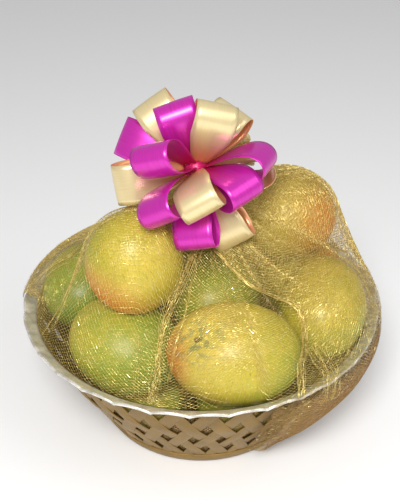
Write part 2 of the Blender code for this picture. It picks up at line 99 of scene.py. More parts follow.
# Mangoes: middle, half sizes and turn as in the solids, but the front left one dips 6 degrees more and
# sits 1 mm lower. Ripe runs from 0, green, to 1, yellow, and grows towards ripe_way. That way
# mostly points upwards and often to the front, so the side towards the lamps is painted lighter and the
# other side darker green: partly the fruit's own colour, partly painted light and shade. Blush is the
# direction of the orange cheek, and blush_reach how far round it goes
Mango = namedtuple("Mango", "name middle half_sizes turn dip stem ripe ripe_way blush blush_reach")
MANGOES = (
    Mango("front", (0.026, -0.094, 0.124), (0.0535, 0.042, 0.041), 0, 4, (-0.62, -0.42, 0.66), 0.58,
          (-0.5, -0.2, 0.4), (-1.0, -0.25, 0.1), 0.25),
    Mango("front_left", (-0.060, -0.065, 0.109), (0.048, 0.042, 0.038), -28, 16, (-0.5, 0.8, 0.2), 0.26,
          (-0.5, 0.0, 0.3), (-0.6, 0.0, -0.8), 0.30),
    # This mango's cheek wraps its underside, where the deep orange-brown is partly painted shade
    Mango("upper_left", (-0.051, -0.054, 0.1815), (0.039, 0.037, 0.043), 20, 0, (0.3, 0.9, 0.2), 0.52,
          (0.1, -0.4, 0.1), (-0.50, -0.35, -0.78), 0.85),
    Mango("left", (-0.096, 0.012, 0.115), (0.048, 0.038, 0.036), 68, 0, (0.9, 0.3, 0.1), 0.10,
          (-0.3, 0.0, 0.5), (0.3, 0.9, -0.3), 0.30),
    Mango("upper_right", (0.071, 0.025, 0.178), (0.043, 0.039, 0.038), -25, 0, (-0.3, 0.9, 0.1), 0.55,
          (-0.4, -0.5, 0.2), (0.85, -0.50, 0.05), 0.75),
    Mango("right", (0.098, -0.043, 0.130), (0.049, 0.036, 0.040), 80, 0, (0.9, 0.4, 0.0), 0.42,
          (0.0, -0.2, 0.7), (-0.3, 0.9, 0.3), 0.25),
    Mango("middle", (0.013, -0.006, 0.118), (0.045, 0.038, 0.036), 60, 0, (0.9, 0.3, 0.0), 0.12,
          (0.0, -0.6, 0.2), (0.2, 0.9, -0.4), 0.25),
    Mango("back_right", (0.0885, 0.0385, 0.108), (0.044, 0.038, 0.036), -60, 0, (0.9, 0.3, 0.0), 0.40,
          (0.0, -0.6, 0.2), (0.9, 0.0, 0.4), 0.80),
    Mango("back_left", (-0.046, 0.079, 0.096), (0.044, 0.037, 0.036), 40, 0, (0.2, 0.9, 0.3), 0.50,
          (0.0, 0.6, 0.4), (-0.7, 0.6, 0.2), 0.60),
    Mango("back", (0.030, 0.093, 0.114), (0.045, 0.037, 0.035), 5, 0, (0.9, 0.3, 0.4), 0.60,
          (0.0, 0.5, 0.4), (-0.8, 0.6, 0.2), 0.55),
    Mango("upper_back", (-0.018, 0.042, 0.160), (0.044, 0.038, 0.036), 0, 0, (-0.9, 0.3, 0.3), 0.45,
          (0.0, 0.5, 0.4), (0.4, 0.8, -0.2), 0.55),
)

# Smaller mangoes lie end to end in a ring in the bowl, under the others
LOWER_COUNT = 5
LOWER_FIRST = 12
LOWER_RING = 0.065
LOWER_HEIGHT = 0.044
LOWER_HALF_SIZES = (0.038, 0.033, 0.031)
LOWER_RIPE = 0.15

MANGO_RINGS = 44
MANGO_SEGMENTS = 64
MANGO_FULLNESS = 0.985
STEM_DIMPLE = 0.0042
STEM_DIMPLE_WIDTH = 0.30
# Width of the grey-green patch round the stalk: the stem end's own tone and painted shade in the dimple
STALK_TONE_AND_SHADE_WIDTH = 0.51
# The stalk: heights from the bottom of the dimple, and radii
STALK_PROFILE = ((-0.001, 0.0026), (0.0012, 0.0022), (0.0022, 0.0018))
STALK_SIDES = 10

# Net surface: rays run round the basket. Its rings go from the lower edge of the loose fold, over the
# rim and the fruit, to the frill. Away from the fold it starts where it is tucked in behind the rim
NET_OVER_FRUIT = 0.0012
RAYS = 256
HEAP_RINGS = 72
SIDEWAYS_PULL = 0.15
SETTLING_ROUNDS = 900
OVER_RELAXATION = 1.8
NECK_FOOT = (0.006, -0.003, 0.228)
NECK_FOOT_RADIUS = 0.0095
TUCK_RADIUS = 0.1395
TUCK_HEIGHT = 0.1078
RIM_NET_RADIUS = 0.1498
RIM_NET_HEIGHT = 0.1154
FOLD_MIDDLE = CUSP_BEARING + math.pi / COLUMNS * 12.5
FOLD_HALF = math.pi / COLUMNS * 8.5
FOLD_RINGS = 40
BACK_MIDDLE = math.radians(145)
BACK_HALF = math.radians(36)
BACK_HEM = 0.009
OVER_RIM = ((0.1520, 0.1085), (0.1519, 0.1136))
FOLD_EDGE_RADIUS = 0.0910
FOLD_EDGE_HEIGHT = 0.003
FOLD_EDGE_RISE = 0.030
SLACK = 0.012
SLACK_BEARING = math.radians(-34)
SLACK_SPREAD = math.radians(28)
SLACK_DROP = 0.7
RIPPLE = 0.0009
Ring = namedtuple("Ring", "middle radius pleat lean")
NECK_RINGS = (
    Ring((0.0050, -0.0025, 0.2340), 0.0070, 0.00, 0.0),
    Ring((0.0044, -0.0020, 0.2382), 0.0062, 0.00, 0.0),
    Ring((0.0046, -0.0018, 0.2438), 0.0062, 0.00, 0.0),
    Ring((0.0085, 0.0015, 0.2492), 0.0090, 0.10, 0.3),
    Ring((0.0180, 0.0090, 0.2505), 0.0140, 0.18, 0.9),
    Ring((0.0300, 0.0170, 0.2510), 0.0190, 0.25, 1.0),
)
FRILL_WAY = (0.80, 0.50, 0.33)
PLEATS = 8
RINGS_BETWEEN_NECK_RINGS = 4

# Creases of the net. Each has its bearing at the rim, halfway up and near the neck, its width, and how
# strongly it draws the threads together
Crease = namedtuple("Crease", "rim middle neck width pull")
CREASE_LENGTHS = (0.123, 0.209, 0.272)
CREASES = (
    Crease(-106, -105.5, -97, 6, 0.70),
    Crease(-158, -144, -130, 5, 0.60),
    Crease(-180, -182, -186, 6, 0.50),
    Crease(-76, -79, -86, 5, 0.45),
    Crease(-130, -126, -115, 6, 0.35),
    Crease(-38, -36, -50, 7, 0.45),
    Crease(-14, -10, -14, 6, 0.40),
    Crease(14, 17, 22, 7, 0.55),
    Crease(48, 52, 60, 8, 0.50),
    Crease(84, 80, 78, 7, 0.60),
    Crease(118, 122, 114, 8, 0.50),
    Crease(150, 146, 150, 6, 0.55),
)

# The flap on the right, where the net lies in several layers: the bearing of its edge at each length along
# the net, and the bearing where it ends and how gradually
FLAP_LENGTHS = (0.123, 0.152, 0.175, 0.189, 0.200, 0.211, 0.222, 0.229, 0.242, 0.254, 0.260, 0.292)
FLAP_EDGE = (-61, -58, -52, -48, -46, -48, -56, -63, -69, -76, -83, -92)
FLAP_END = 62
FLAP_FADE = 28
FLAP_FOOT = FLAP_LENGTHS[0] - 0.004

# Strands that lie together along folds: points as (length, bearing), how many strands, and their spread
FoldLine = namedtuple("FoldLine", "points strands spread")
FRONT_FOLD = ((0.127, -105.5), (0.163, -105.5), (0.192, -107), (0.209, -105.5), (0.234, -101), (0.262, -98))
FRONT_BRANCH = ((0.152, -101), (0.189, -99.8), (0.202, -98.4), (0.229, -98.4), (0.244, -97), (0.258, -94))
FOLD_LINES = (
    FoldLine(tuple(zip(FLAP_LENGTHS, FLAP_EDGE)), 16, 1.1),
    FoldLine(((0.106, -50), (0.123, -48.5), (0.132, -47.5), (0.168, -49)), 16, 2.0),
    FoldLine(((0.127, -158), (0.152, -156), (0.169, -153), (0.181, -150.5), (0.215, -139)), 5, 0.6),
    FoldLine(((0.127, -180), (0.160, -180), (0.195, -181.5), (0.202, -187)), 6, 1.0),
    FoldLine(FRONT_FOLD, 12, 1.5),
    FoldLine(FRONT_BRANCH, 4, 0.7),
    FoldLine(((0.183, -77), (0.209, -78.8), (0.237, -80), (0.256, -83)), 3, 0.3),
    FoldLine(((0.126, -110), (0.136, -111), (0.160, -112.5), (0.175, -114)), 3, 0.5),
    FoldLine(((0.080, 14), (0.152, 14), (0.209, 17), (0.272, 22)), 8, 1.5),
    FoldLine(((0.126, 84), (0.152, 83), (0.209, 80), (0.272, 78)), 8, 1.5),
    FoldLine(((0.126, 150), (0.152, 149), (0.209, 146), (0.272, 150)), 8, 1.5),
)

# Threads of the net: columns of cells round the basket, and the height of half a cell along the net.
# Each layer has its columns and how far it lies out from the net's surface. Crumple says how uneven its
# cells are, and the threads are painted brown, as painted shade, from BROWN_SHADE_FROM below the rim
THREAD_COLUMNS = 356
HALF_CELL = 0.00130
THREAD_RADIUS = 0.00011
FOLD_THREAD_RADIUS = 0.00009
THREAD_LIFT = 0.0003
FLAP_LAYERS = ((330, 0.0008), (308, 0.0014))
SLACK_LAYER = (342, 0.0010)
THREAD_CRUMPLE = 0.05
FLAP_CRUMPLE = 0.20
SLACK_CRUMPLE = 0.30
BROWN_SHADE_FROM = 0.004
STRAND_RADIUS = 0.00013
STRAND_STEP = 0.003
SECTORS = 5
# Glints are a share of the threads painted pale and made thicker: painted highlights
GLINT_SHARE = 0.028
GLINT_RADIUS = 0.00021
SEED = 7

# Sheer ground of the net, and how closely it covers what is under it: where it is spread, at the neck,
# along a crease, at the back, in the flap low down and at the neck, in the loose fold, and at most
GROUND_RINGS = 120
GROUND_RAYS = 256
CELL_PITCH = 0.003
CELL_RADIUS = 0.11
OPEN_COVER = 0.04
NECK_COVER = 0.75
CREASE_COVER = 0.12
BACK_COVER = 0.28
FLAP_COVER = 0.02
FLAP_NECK_COVER = 0.24
FOLD_COVER = 0.90
FULL_COVER = 0.97
LINING_FRONT_COVER = 0.47
LINING_RINGS = 10
LINING_TOP = 0.102
LINING_FOOT = 0.016
LINING_GAP = 0.0031

# Bow
BOW_MIDDLE = (-0.0036, -0.0207, 0.2450)
FACE_TILT = math.radians(35.8)
KNOT_RADIUS = 0.0098
KNOT_RINGS = 20
KNOT_SEGMENTS = 48
KNOT_FOLDS = 9
TIE_MIDDLE = (0.0045, -0.0019, 0.2409)
TIE_INNER_RADIUS = 0.0070
TIE_OUTER_RADIUS = 0.0104
TIE_HEIGHT = 0.005
TIE_SEGMENTS = 96
TIE_SECTION_POINTS = 36
TIE_TURNS = 3
RIBBON_WIDTH = 0.030
RIBBON_WIDTH_AT_KNOT = 0.0045
RIBBON_THICKNESS = 0.0003
LOOP_BULGE = 0.0175
LOOP_PINCH = 2.0
LOOP_FROM = 0.0100
WIDE_FROM = 0.72
LOOP_STEPS = 56
RIBBON_STEPS = 8
# Loops of the bow, as in the solids. The first bearing and lift say where the loop's tip points, the other
# two where its ribbon's edge points, in degrees: bearings in the bow's face, lifts towards its front
Loop = namedtuple("Loop", "name colour bearing lift edge_bearing edge_lift length")
LOOPS = (
    Loop("top", "magenta", 111.9, 41.7, 203.3, -7.4, 0.0582),
    Loop("upper_left_gold", "gold", 124.7, 5, 147.3, 1, 0.0620),
    Loop("upper_left", "magenta", 154.3, -13.5, 223, -15.7, 0.0653),
    Loop("left_gold", "gold", 175.6, -48.3, 253, -9.2, 0.0626),
    Loop("left_front", "magenta", 180.9, 62.1, 186.1, -25.8, 0.0699),
    Loop("lower_left_gold", "gold", 193.6, 10.7, 283.1, -18.8, 0.0630),
    Loop("lower_left", "magenta", 235.9, 44.3, 172.3, -61.1, 0.0702),
    Loop("bottom", "magenta", 270.6, 13.3, 355.6, 19, 0.0631),
    Loop("front_gold", "gold", 275.8, 56.7, 203.3, -22.7, 0.0659),
    Loop("bottom_gold", "gold", 300.2, -11.9, 42.7, 19.3, 0.0660),
    Loop("lower_right", "magenta", 326.4, 40.9, 81.7, -47.8, 0.0597),
    Loop("right", "magenta", 0.6, 27, 322.3, 58.1, 0.0604),
    Loop("right_gold", "gold", 1.5, -9.1, 245.5, 57.3, 0.0586),
    Loop("upper_right_gold", "gold", 65.8, 53.6, 42.4, 46.2, 0.0651),
    Loop("far_right_gold", "gold", 54.8, 8.3, 314.8, 8.7, 0.0535),
)

# Floor and light: place, size and power of each lamp
FLOOR_HALF = 3
FLOOR_HEIGHT = -0.0005
SKY_STRENGTH = 0.42
KEY_LIGHT = ((-0.14, -1.05, 1.20), 0.45, 21)
FILL_LIGHT = ((0.9, -0.5, 1.1), 0.9, 4)

rng = np.random.default_rng(SEED)


def linear(hex_colour):
    """sRGB hex to linear RGB with alpha 1."""
    parts = [int(hex_colour[i : i + 2], 16) / 255 for i in (1, 3, 5)]
    return tuple(c / 12.92 if c <= 0.04045 else ((c + 0.055) / 1.055) ** 2.4 for c in parts) + (1.0,)


def unit(vector):
    """The vector at length 1."""
    vector = np.asarray(vector, float)
    return vector / np.linalg.norm(vector)


def add_node(tree, kind, inputs=(), **settings):
    """A node with its settings. Inputs maps a socket to its value, or to the socket that feeds it."""
    made = tree.nodes.new(kind)
    for setting, value in settings.items():
        setattr(made, setting, value)
    for key, value in dict(inputs).items():
        if isinstance(value, bpy.types.NodeSocket):
            tree.links.new(value, made.inputs[key])
        else:
            made.inputs[key].default_value = value
    return made


def new_finish(name, **numbers):
    """A material and its tree, with the shader's own sockets set."""
    finish = bpy.data.materials.new(name)
    finish.use_nodes = True
    tree = finish.node_tree
    shader = tree.nodes["Principled BSDF"]
    for socket, value in numbers.items():
        shader.inputs[socket.replace("_", " ")].default_value = value
    return finish, tree, shader


def feed(tree, shader, **sources):
    """Links the shader's sockets to the outputs that feed them."""
    for socket, source in sources.items():
        tree.links.new(source, shader.inputs[socket.replace("_", " ")])


def add_mesh(name, points, faces, finishes, face_finish=None):
    """A smooth shaded piece; face_finish says which of the finishes each face has."""
    mesh = bpy.data.meshes.new(name)
    mesh.from_pydata([tuple(map(float, point)) for point in points], [], faces)
    for finish in finishes:
        mesh.materials.append(finish)
    if face_finish is not None:
        mesh.polygons.foreach_set("material_index", face_finish)
    mesh.shade_smooth()
    thing = bpy.data.objects.new(name, mesh)
    bpy.context.collection.objects.link(thing)
    return thing


def add_attribute(thing, name, values):
    """A colour for each point, read by a material."""
    values = np.column_stack([values, np.ones(len(values))]).astype(np.float32)
    layer = thing.data.attributes.new(name, "FLOAT_COLOR", "POINT")
    layer.data.foreach_set("color", values.ravel())


def add_places(thing, name, places):
    """A place on the cloth for each point, in metres, read by a material."""
    layer = thing.data.attributes.new(name, "FLOAT_VECTOR", "POINT")
    layer.data.foreach_set("vector", np.asarray(places, np.float32).ravel())


def dress(thing, node):
    """The piece rides on the object and stands for that node, whose solid it hides."""
    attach(thing, "root")
    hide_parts(node)


def bake(thing):
    """Replaces a piece by the plain mesh that its modifiers make."""
    graph = bpy.context.evaluated_depsgraph_get()
    mesh = bpy.data.meshes.new_from_object(thing.evaluated_get(graph))
    thing.modifiers.clear()
    thing.data = mesh
    return thing


def bearings_round(count, first=0):
    """Evenly spaced bearings all the way round."""
    return first + 2 * math.pi * np.arange(count) / count


def ball_angles(rings, segments):
    """Angles from the pole and round it at each point of a ball, without its two poles."""
    polar = np.linspace(0, math.pi, rings + 1)[1:-1]
    return np.meshgrid(polar, bearings_round(segments), indexing="ij")


def grid_faces(rows, columns, start=0, closed=True, flip=False):
    """Quads between rows of points; closed joins each row's last point to its first."""
    faces = []
    for i in range(rows - 1):
        for k in range(columns if closed else columns - 1):
            after = (k + 1) % columns
            a, b = start + i * columns, start + (i + 1) * columns
            face = (a + k, a + after, b + after, b + k)
            faces.append(face[::-1] if flip else face)
    return faces


def capped_faces(rings, count, flip=False):
    """Faces of rings of points that two poles close, which come after the rings."""
    faces = grid_faces(rings, count, flip=flip)
    last, pole = (rings - 1) * count, rings * count
    for k in range(count):
        pair = (k, (k + 1) % count)
        here, after = pair[::-1] if flip else pair
        faces.append((pole, after, here))
        faces.append((pole + 1, last + here, last + after))
    return faces


def tube_faces(rings, count):
    """Faces of rings of points where the last ring joins the first."""
    last = (rings - 1) * count
    seam = [(last + k, last + (k + 1) % count, (k + 1) % count, k) for k in range(count)]
    return grid_faces(rings, count) + seam


def smooth_step(value, low, high):
    """0 up to low and 1 from high on, with a soft rise between them."""
    share = np.clip((value - low) / (high - low), 0, 1)
    return share * share * (3 - 2 * share)


def wrapped(bearing):
    """The same bearing between minus and plus half a turn."""
    return (bearing + math.pi) % (2 * math.pi) - math.pi


def round_about(radius, bearing, height):
    """Points at that radius from the upright middle line, at those bearings and that height."""
    return np.stack([radius * np.cos(bearing), radius * np.sin(bearing), height + 0 * bearing], -1)


# Finishes


def mango_skin():
    """Waxy mango skin: green to yellow with an orange cheek, pale pores and a soft gloss."""
    finish, tree, shader = new_finish(
        "waxy mango skin",
        IOR=1.45,
        Subsurface_Weight=0.10,
        Subsurface_Scale=0.004,
        Coat_Weight=0.14,
        Coat_Roughness=0.34,
    )
    place = add_node(tree, "ShaderNodeTexCoord").outputs["Object"]
    skin = add_node(tree, "ShaderNodeAttribute", attribute_name="skin").outputs["Color"]
    # Ripeness also carries painted light and shade: the ramp runs from dark green to light yellow
    ripeness, cheek, near_stalk = add_node(tree, "ShaderNodeSeparateColor", {0: skin}).outputs
    # Broad patches about 25 mm across, and mottling about 6 mm across
    patches = add_node(tree, "ShaderNodeTexNoise", {"Vector": place, "Scale": 42, "Detail": 3}).outputs["Fac"]
    mottle = add_node(tree, "ShaderNodeTexNoise", {"Vector": place, "Scale": 170, "Detail": 4}).outputs["Fac"]
    ripe = add_node(tree, "ShaderNodeMath", {0: patches, 1: 0.55, 2: ripeness}, operation="MULTIPLY_ADD")
    ripe = ripe.outputs[0]
    ripe = add_node(tree, "ShaderNodeMath", {0: mottle, 1: 0.30, 2: ripe}, operation="MULTIPLY_ADD")
    ripe = add_node(tree, "ShaderNodeMapRange", {0: ripe.outputs[0], 1: 0.42, 2: 1.42, 3: 0.0, 4: 1.0})
    ramp = add_node(tree, "ShaderNodeValToRGB", {0: ripe.outputs[0]})
    stops = ((0.00, "#668630"), (0.30, "#8C9C30"), (0.62, "#B8AA32"), (1.00, "#E2C854"))
    for i, (at, colour) in enumerate(stops):
        stop = ramp.color_ramp.elements[i] if i < 2 else ramp.color_ramp.elements.new(at)
        stop.position = at
        stop.color = linear(colour)
    # The cheek's deep orange is the fruit's own blush, and partly painted shade where it wraps an underside
    blush = add_node(tree, "ShaderNodeMath", {0: mottle, 1: 0.8, 2: 0.62}, operation="MULTIPLY_ADD")
    blush = add_node(tree, "ShaderNodeMath", {0: cheek, 1: blush.outputs[0]}, operation="MULTIPLY").outputs[0]
    colour = {0: blush, 6: ramp.outputs[0], 7: linear("#CE7C2C")}
    blushed = add_node(tree, "ShaderNodeMix", colour, data_type="RGBA").outputs[2]
    # Grey-green patches round the stalk: the stem end's own greener tone, and painted shade in the dimple
    stalk_tone_and_shade = add_node(tree, "ShaderNodeMapRange", {0: mottle, 1: 0.44, 2: 0.56, 3: 0.1, 4: 1.0}).outputs[0]
    stalk_tone_and_shade = add_node(tree, "ShaderNodeMath", {0: stalk_tone_and_shade, 1: near_stalk}, operation="MULTIPLY").outputs[0]
    colour = {0: stalk_tone_and_shade, 6: blushed, 7: linear("#6C7C50")}
    stalk_toned_and_shaded = add_node(tree, "ShaderNodeMix", colour, data_type="RGBA").outputs[2]
    # Pores stand about 4 mm apart, coarser than a real mango's 2 mm so that they show
    pores = add_node(tree, "ShaderNodeTexVoronoi", {"Vector": place, "Scale": 250}).outputs["Distance"]
    pores = add_node(tree, "ShaderNodeMapRange", {0: pores, 1: 0.10, 2: 0.20, 3: 0.45, 4: 0.0}).outputs[0]
    colour = {0: pores, 6: stalk_toned_and_shaded, 7: linear("#EFE3A4")}
    dotted = add_node(tree, "ShaderNodeMix", colour, data_type="RGBA").outputs[2]
    rough = add_node(tree, "ShaderNodeMapRange", {0: mottle, 1: 0.3, 2: 0.7, 3: 0.34, 4: 0.52}).outputs[0]
    bump = add_node(tree, "ShaderNodeBump", {"Height": mottle, "Strength": 0.12, "Distance": 0.0006})
    feed(tree, shader, Base_Color=dotted, Roughness=rough, Normal=bump.outputs[0])
    return finish


def mango_stalk():
    """Dry cut stalk: dull brown wood."""
    finish, tree, shader = new_finish("dry mango stalk", Roughness=0.85, IOR=1.45)
    place = add_node(tree, "ShaderNodeTexCoord").outputs["Object"]
    grain = add_node(tree, "ShaderNodeTexNoise", {"Vector": place, "Scale": 900, "Detail": 3}).outputs["Fac"]
    wood = {0: grain, 6: linear("#4A3A22"), 7: linear("#8A7444")}
    feed(tree, shader, Base_Color=add_node(tree, "ShaderNodeMix", wood, data_type="RGBA").outputs[2])
    return finish


def strip_finish():
    """Champagne lacquer over woven strips: warm tan, half metallic, in cloudy lighter and darker patches."""
    finish, tree, shader = new_finish("champagne lacquered strip", Metallic=0.35, IOR=1.5)
    place = add_node(tree, "ShaderNodeTexCoord").outputs["Object"]
    cloud = add_node(tree, "ShaderNodeTexNoise", {"Vector": place, "Scale": 60, "Detail": 4}).outputs["Fac"]
    grain = add_node(tree, "ShaderNodeTexNoise", {"Vector": place, "Scale": 900, "Detail": 3}).outputs["Fac"]
    lacquer = {0: cloud, 6: linear("#725828"), 7: linear("#9E7E40")}
    lacquer = add_node(tree, "ShaderNodeMix", lacquer, data_type="RGBA").outputs[2]
    rough = add_node(tree, "ShaderNodeMapRange", {0: grain, 1: 0.3, 2: 0.7, 3: 0.38, 4: 0.58}).outputs[0]
    bump = add_node(tree, "ShaderNodeBump", {"Height": grain, "Strength": 0.25, "Distance": 0.0004})
    feed(tree, shader, Base_Color=lacquer, Roughness=rough, Normal=bump.outputs[0])
    return finish


def rim_finish(name, clean, tarnished, smooth, dull):
    """Silver plated rim: satin metal with warm grey tarnish in patches, smoother where it is clean."""
    finish, tree, shader = new_finish(name, Metallic=0.6)
    place = add_node(tree, "ShaderNodeTexCoord").outputs["Object"]
    cloud = add_node(tree, "ShaderNodeTexNoise", {"Vector": place, "Scale": 110, "Detail": 5}).outputs["Fac"]
    patch = add_node(tree, "ShaderNodeMapRange", {0: cloud, 1: 0.40, 2: 0.62, 3: 0.0, 4: 1.0}).outputs[0]
    silver = {0: patch, 6: linear(clean), 7: linear(tarnished)}
    silver = add_node(tree, "ShaderNodeMix", silver, data_type="RGBA").outputs[2]
    rough = add_node(tree, "ShaderNodeMapRange", {0: patch, 1: 0.0, 2: 1.0, 3: smooth, 4: dull}).outputs[0]
    bump = add_node(tree, "ShaderNodeBump", {"Height": cloud, "Strength": 0.35, "Distance": 0.0008})
    feed(tree, shader, Base_Color=silver, Roughness=rough, Normal=bump.outputs[0])
    return finish


def thread_finish(name, low, high, roughness):
    """Gold lurex thread: bright metal foil, a little darker and paler from one stretch to the next."""
    finish, tree, shader = new_finish(name, Metallic=0.6, Roughness=roughness)
    place = add_node(tree, "ShaderNodeTexCoord").outputs["Object"]
    change = add_node(tree, "ShaderNodeTexNoise", {"Vector": place, "Scale": 700, "Detail": 1}).outputs["Fac"]
    change = add_node(tree, "ShaderNodeMapRange", {0: change, 1: 0.35, 2: 0.65, 3: 0.0, 4: 1.0}).outputs[0]
    colour = add_node(tree, "ShaderNodeMix", {0: change, 6: linear(low), 7: linear(high)}, data_type="RGBA")
    feed(tree, shader, Base_Color=colour.outputs[2])
    return finish


def ground_finish():
    """Sheer ground of the net: see-through filament where it is spread, gold where it is gathered."""
    finish, tree, shader = new_finish("sheer gold filament net", Metallic=0.55, Roughness=0.45, IOR=1.5)
    place = add_node(tree, "ShaderNodeTexCoord").outputs["Object"]
    weave = add_node(tree, "ShaderNodeTexNoise", {"Vector": place, "Scale": 420, "Detail": 2}).outputs["Fac"]
    gold = {0: weave, 6: linear("#B8943C"), 7: linear("#EED680")}
    gold = add_node(tree, "ShaderNodeMix", gold, data_type="RGBA").outputs[2]
    # Where the net hangs loose in many layers, and in the lining, it is painted browner as painted shade
    # among the layers, with gold showing through in patches
    brown = {0: weave, 6: linear("#846236"), 7: linear("#D6B072")}
    brown = add_node(tree, "ShaderNodeMix", brown, data_type="RGBA").outputs[2]
    cover = add_node(tree, "ShaderNodeAttribute", attribute_name="cover").outputs["Color"]
    parts = add_node(tree, "ShaderNodeSeparateColor", {0: cover})
    cover, loose = parts.outputs["Red"], parts.outputs["Green"]
    colour = add_node(tree, "ShaderNodeMix", {0: loose, 6: gold, 7: brown}, data_type="RGBA").outputs[2]
    # Crossing threads: the attribute runs along both of their directions, in metres. Cells are drawn 3 mm
    # wide, a little coarser than they are, so that they show
    cells = add_node(tree, "ShaderNodeAttribute", attribute_name="cells").outputs["Vector"]
    bands = {"Vector": cells, "Scale": math.pi / (10 * CELL_PITCH)}
    one_way = add_node(tree, "ShaderNodeTexWave", bands, bands_direction="X").outputs["Fac"]
    other_way = add_node(tree, "ShaderNodeTexWave", bands, bands_direction="Y").outputs["Fac"]
    crossed = add_node(tree, "ShaderNodeMath", {0: one_way, 1: other_way}, operation="MAXIMUM").outputs[0]
    crossed = add_node(tree, "ShaderNodeMapRange", {0: crossed, 1: 0.66, 2: 1.0, 3: 0.0, 4: 1.7}).outputs[0]
    dense = add_node(tree, "ShaderNodeMath", {0: weave, 1: 0.6, 2: crossed}, operation="MULTIPLY_ADD")
    alpha = {0: dense.outputs[0], 1: cover}
    alpha = add_node(tree, "ShaderNodeMath", alpha, operation="MULTIPLY", use_clamp=True).outputs[0]
    # The threads stand up from the film between them, and loose folds are crumpled about 8 mm apart
    waves = add_node(tree, "ShaderNodeTexNoise", {"Vector": place, "Scale": 130, "Detail": 3}).outputs["Fac"]
    waves = add_node(tree, "ShaderNodeMath", {0: waves, 1: loose}, operation="MULTIPLY").outputs[0]
    lift = add_node(tree, "ShaderNodeMath", {0: waves, 1: 6.0, 2: crossed}, operation="MULTIPLY_ADD")
    bump = add_node(tree, "ShaderNodeBump", {"Height": lift.outputs[0], "Strength": 0.5, "Distance": 0.0004})
    feed(tree, shader, Base_Color=colour, Alpha=alpha, Normal=bump.outputs[0])
    return finish


def ribbon_finish(name, low, high, root):
    """Satin ribbon: smooth filaments with a bright soft sheen across each bend, painted shade by the knot and
    a faint painted glow.
    """
    finish, tree, shader = new_finish(
        name, Metallic=0.55, IOR=1.5, Emission_Strength=0.07, Coat_Weight=0.35, Coat_Roughness=0.26
    )
    # The attribute holds the place along and across the ribbon, in metres, and the nearness of the knot
    place = add_node(tree, "ShaderNodeAttribute", attribute_name="weave").outputs["Vector"]
    # Filaments run lengthwise, drawn 0.8 mm apart, coarser than the real 0.1 mm so that they show
    stretched = add_node(tree, "ShaderNodeMapping", {"Vector": place, "Scale": (45, 1250, 0)})
    streaks = add_node(tree, "ShaderNodeTexNoise", {"Vector": stretched.outputs[0], "Scale": 1, "Detail": 2})
    streaks = {0: streaks.outputs["Fac"], 1: 0.10, 2: 0.90, 3: 0.0, 4: 1.0}
    streaks = add_node(tree, "ShaderNodeMapRange", streaks).outputs[0]
    colour = {0: streaks, 6: linear(low), 7: linear(high)}
    colour = add_node(tree, "ShaderNodeMix", colour, data_type="RGBA").outputs[2]
    near_knot = add_node(tree, "ShaderNodeSeparateXYZ", {0: place}).outputs["Z"]
    # Towards the knot the colour runs into root, a darker colour that is painted shade where the loops crowd
    # together
    knot_shaded = {0: near_knot, 6: colour, 7: linear(root)}
    knot_shaded = add_node(tree, "ShaderNodeMix", knot_shaded, data_type="RGBA").outputs[2]
    # The crushed filaments at the knot don't shine
    rough = add_node(tree, "ShaderNodeMapRange", {0: streaks, 1: 0.0, 2: 1.0, 3: 0.28, 4: 0.36}).outputs[0]
    rough = add_node(tree, "ShaderNodeMath", {0: near_knot, 1: 0.35, 2: rough}, operation="MULTIPLY_ADD")
    # The emission is a painted glow in the ribbon's own colour, standing in for light that comes through the
    # thin weave
    feed(tree, shader, Base_Color=knot_shaded, Emission_Color=knot_shaded, Roughness=rough.outputs[0])
    return finish


# Mangoes


def mango_turn(mango):
    """Rotation matrix of a mango: its dip about its width, then its turn about the vertical."""
    turn, dip = math.radians(mango.turn), math.radians(mango.dip)
    about_z = np.array([[math.cos(turn), -math.sin(turn), 0], [math.sin(turn), math.cos(turn), 0], [0, 0, 1]])
    about_y = np.array([[math.cos(dip), 0, math.sin(dip)], [0, 1, 0], [-math.sin(dip), 0, math.cos(dip)]])
    return about_z @ about_y


def lower_mangoes():
    """The smaller mangoes in the bowl, each lying along the ring."""
    mangoes = []
    for i in range(LOWER_COUNT):
        bearing = LOWER_FIRST + 360 * i / LOWER_COUNT
        across = math.cos(math.radians(bearing))
        along = math.sin(math.radians(bearing))
        middle = (LOWER_RING * across, LOWER_RING * along, LOWER_HEIGHT)
        mangoes.append(
            Mango(f"lower_{i + 1}", middle, LOWER_HALF_SIZES, bearing + 90, 0, (0.9, 0.3, 0.0), LOWER_RIPE,
                  (0.0, -0.6, 0.2), (0.9, 0.0, 0.4), 0.20)
        )
    return mangoes


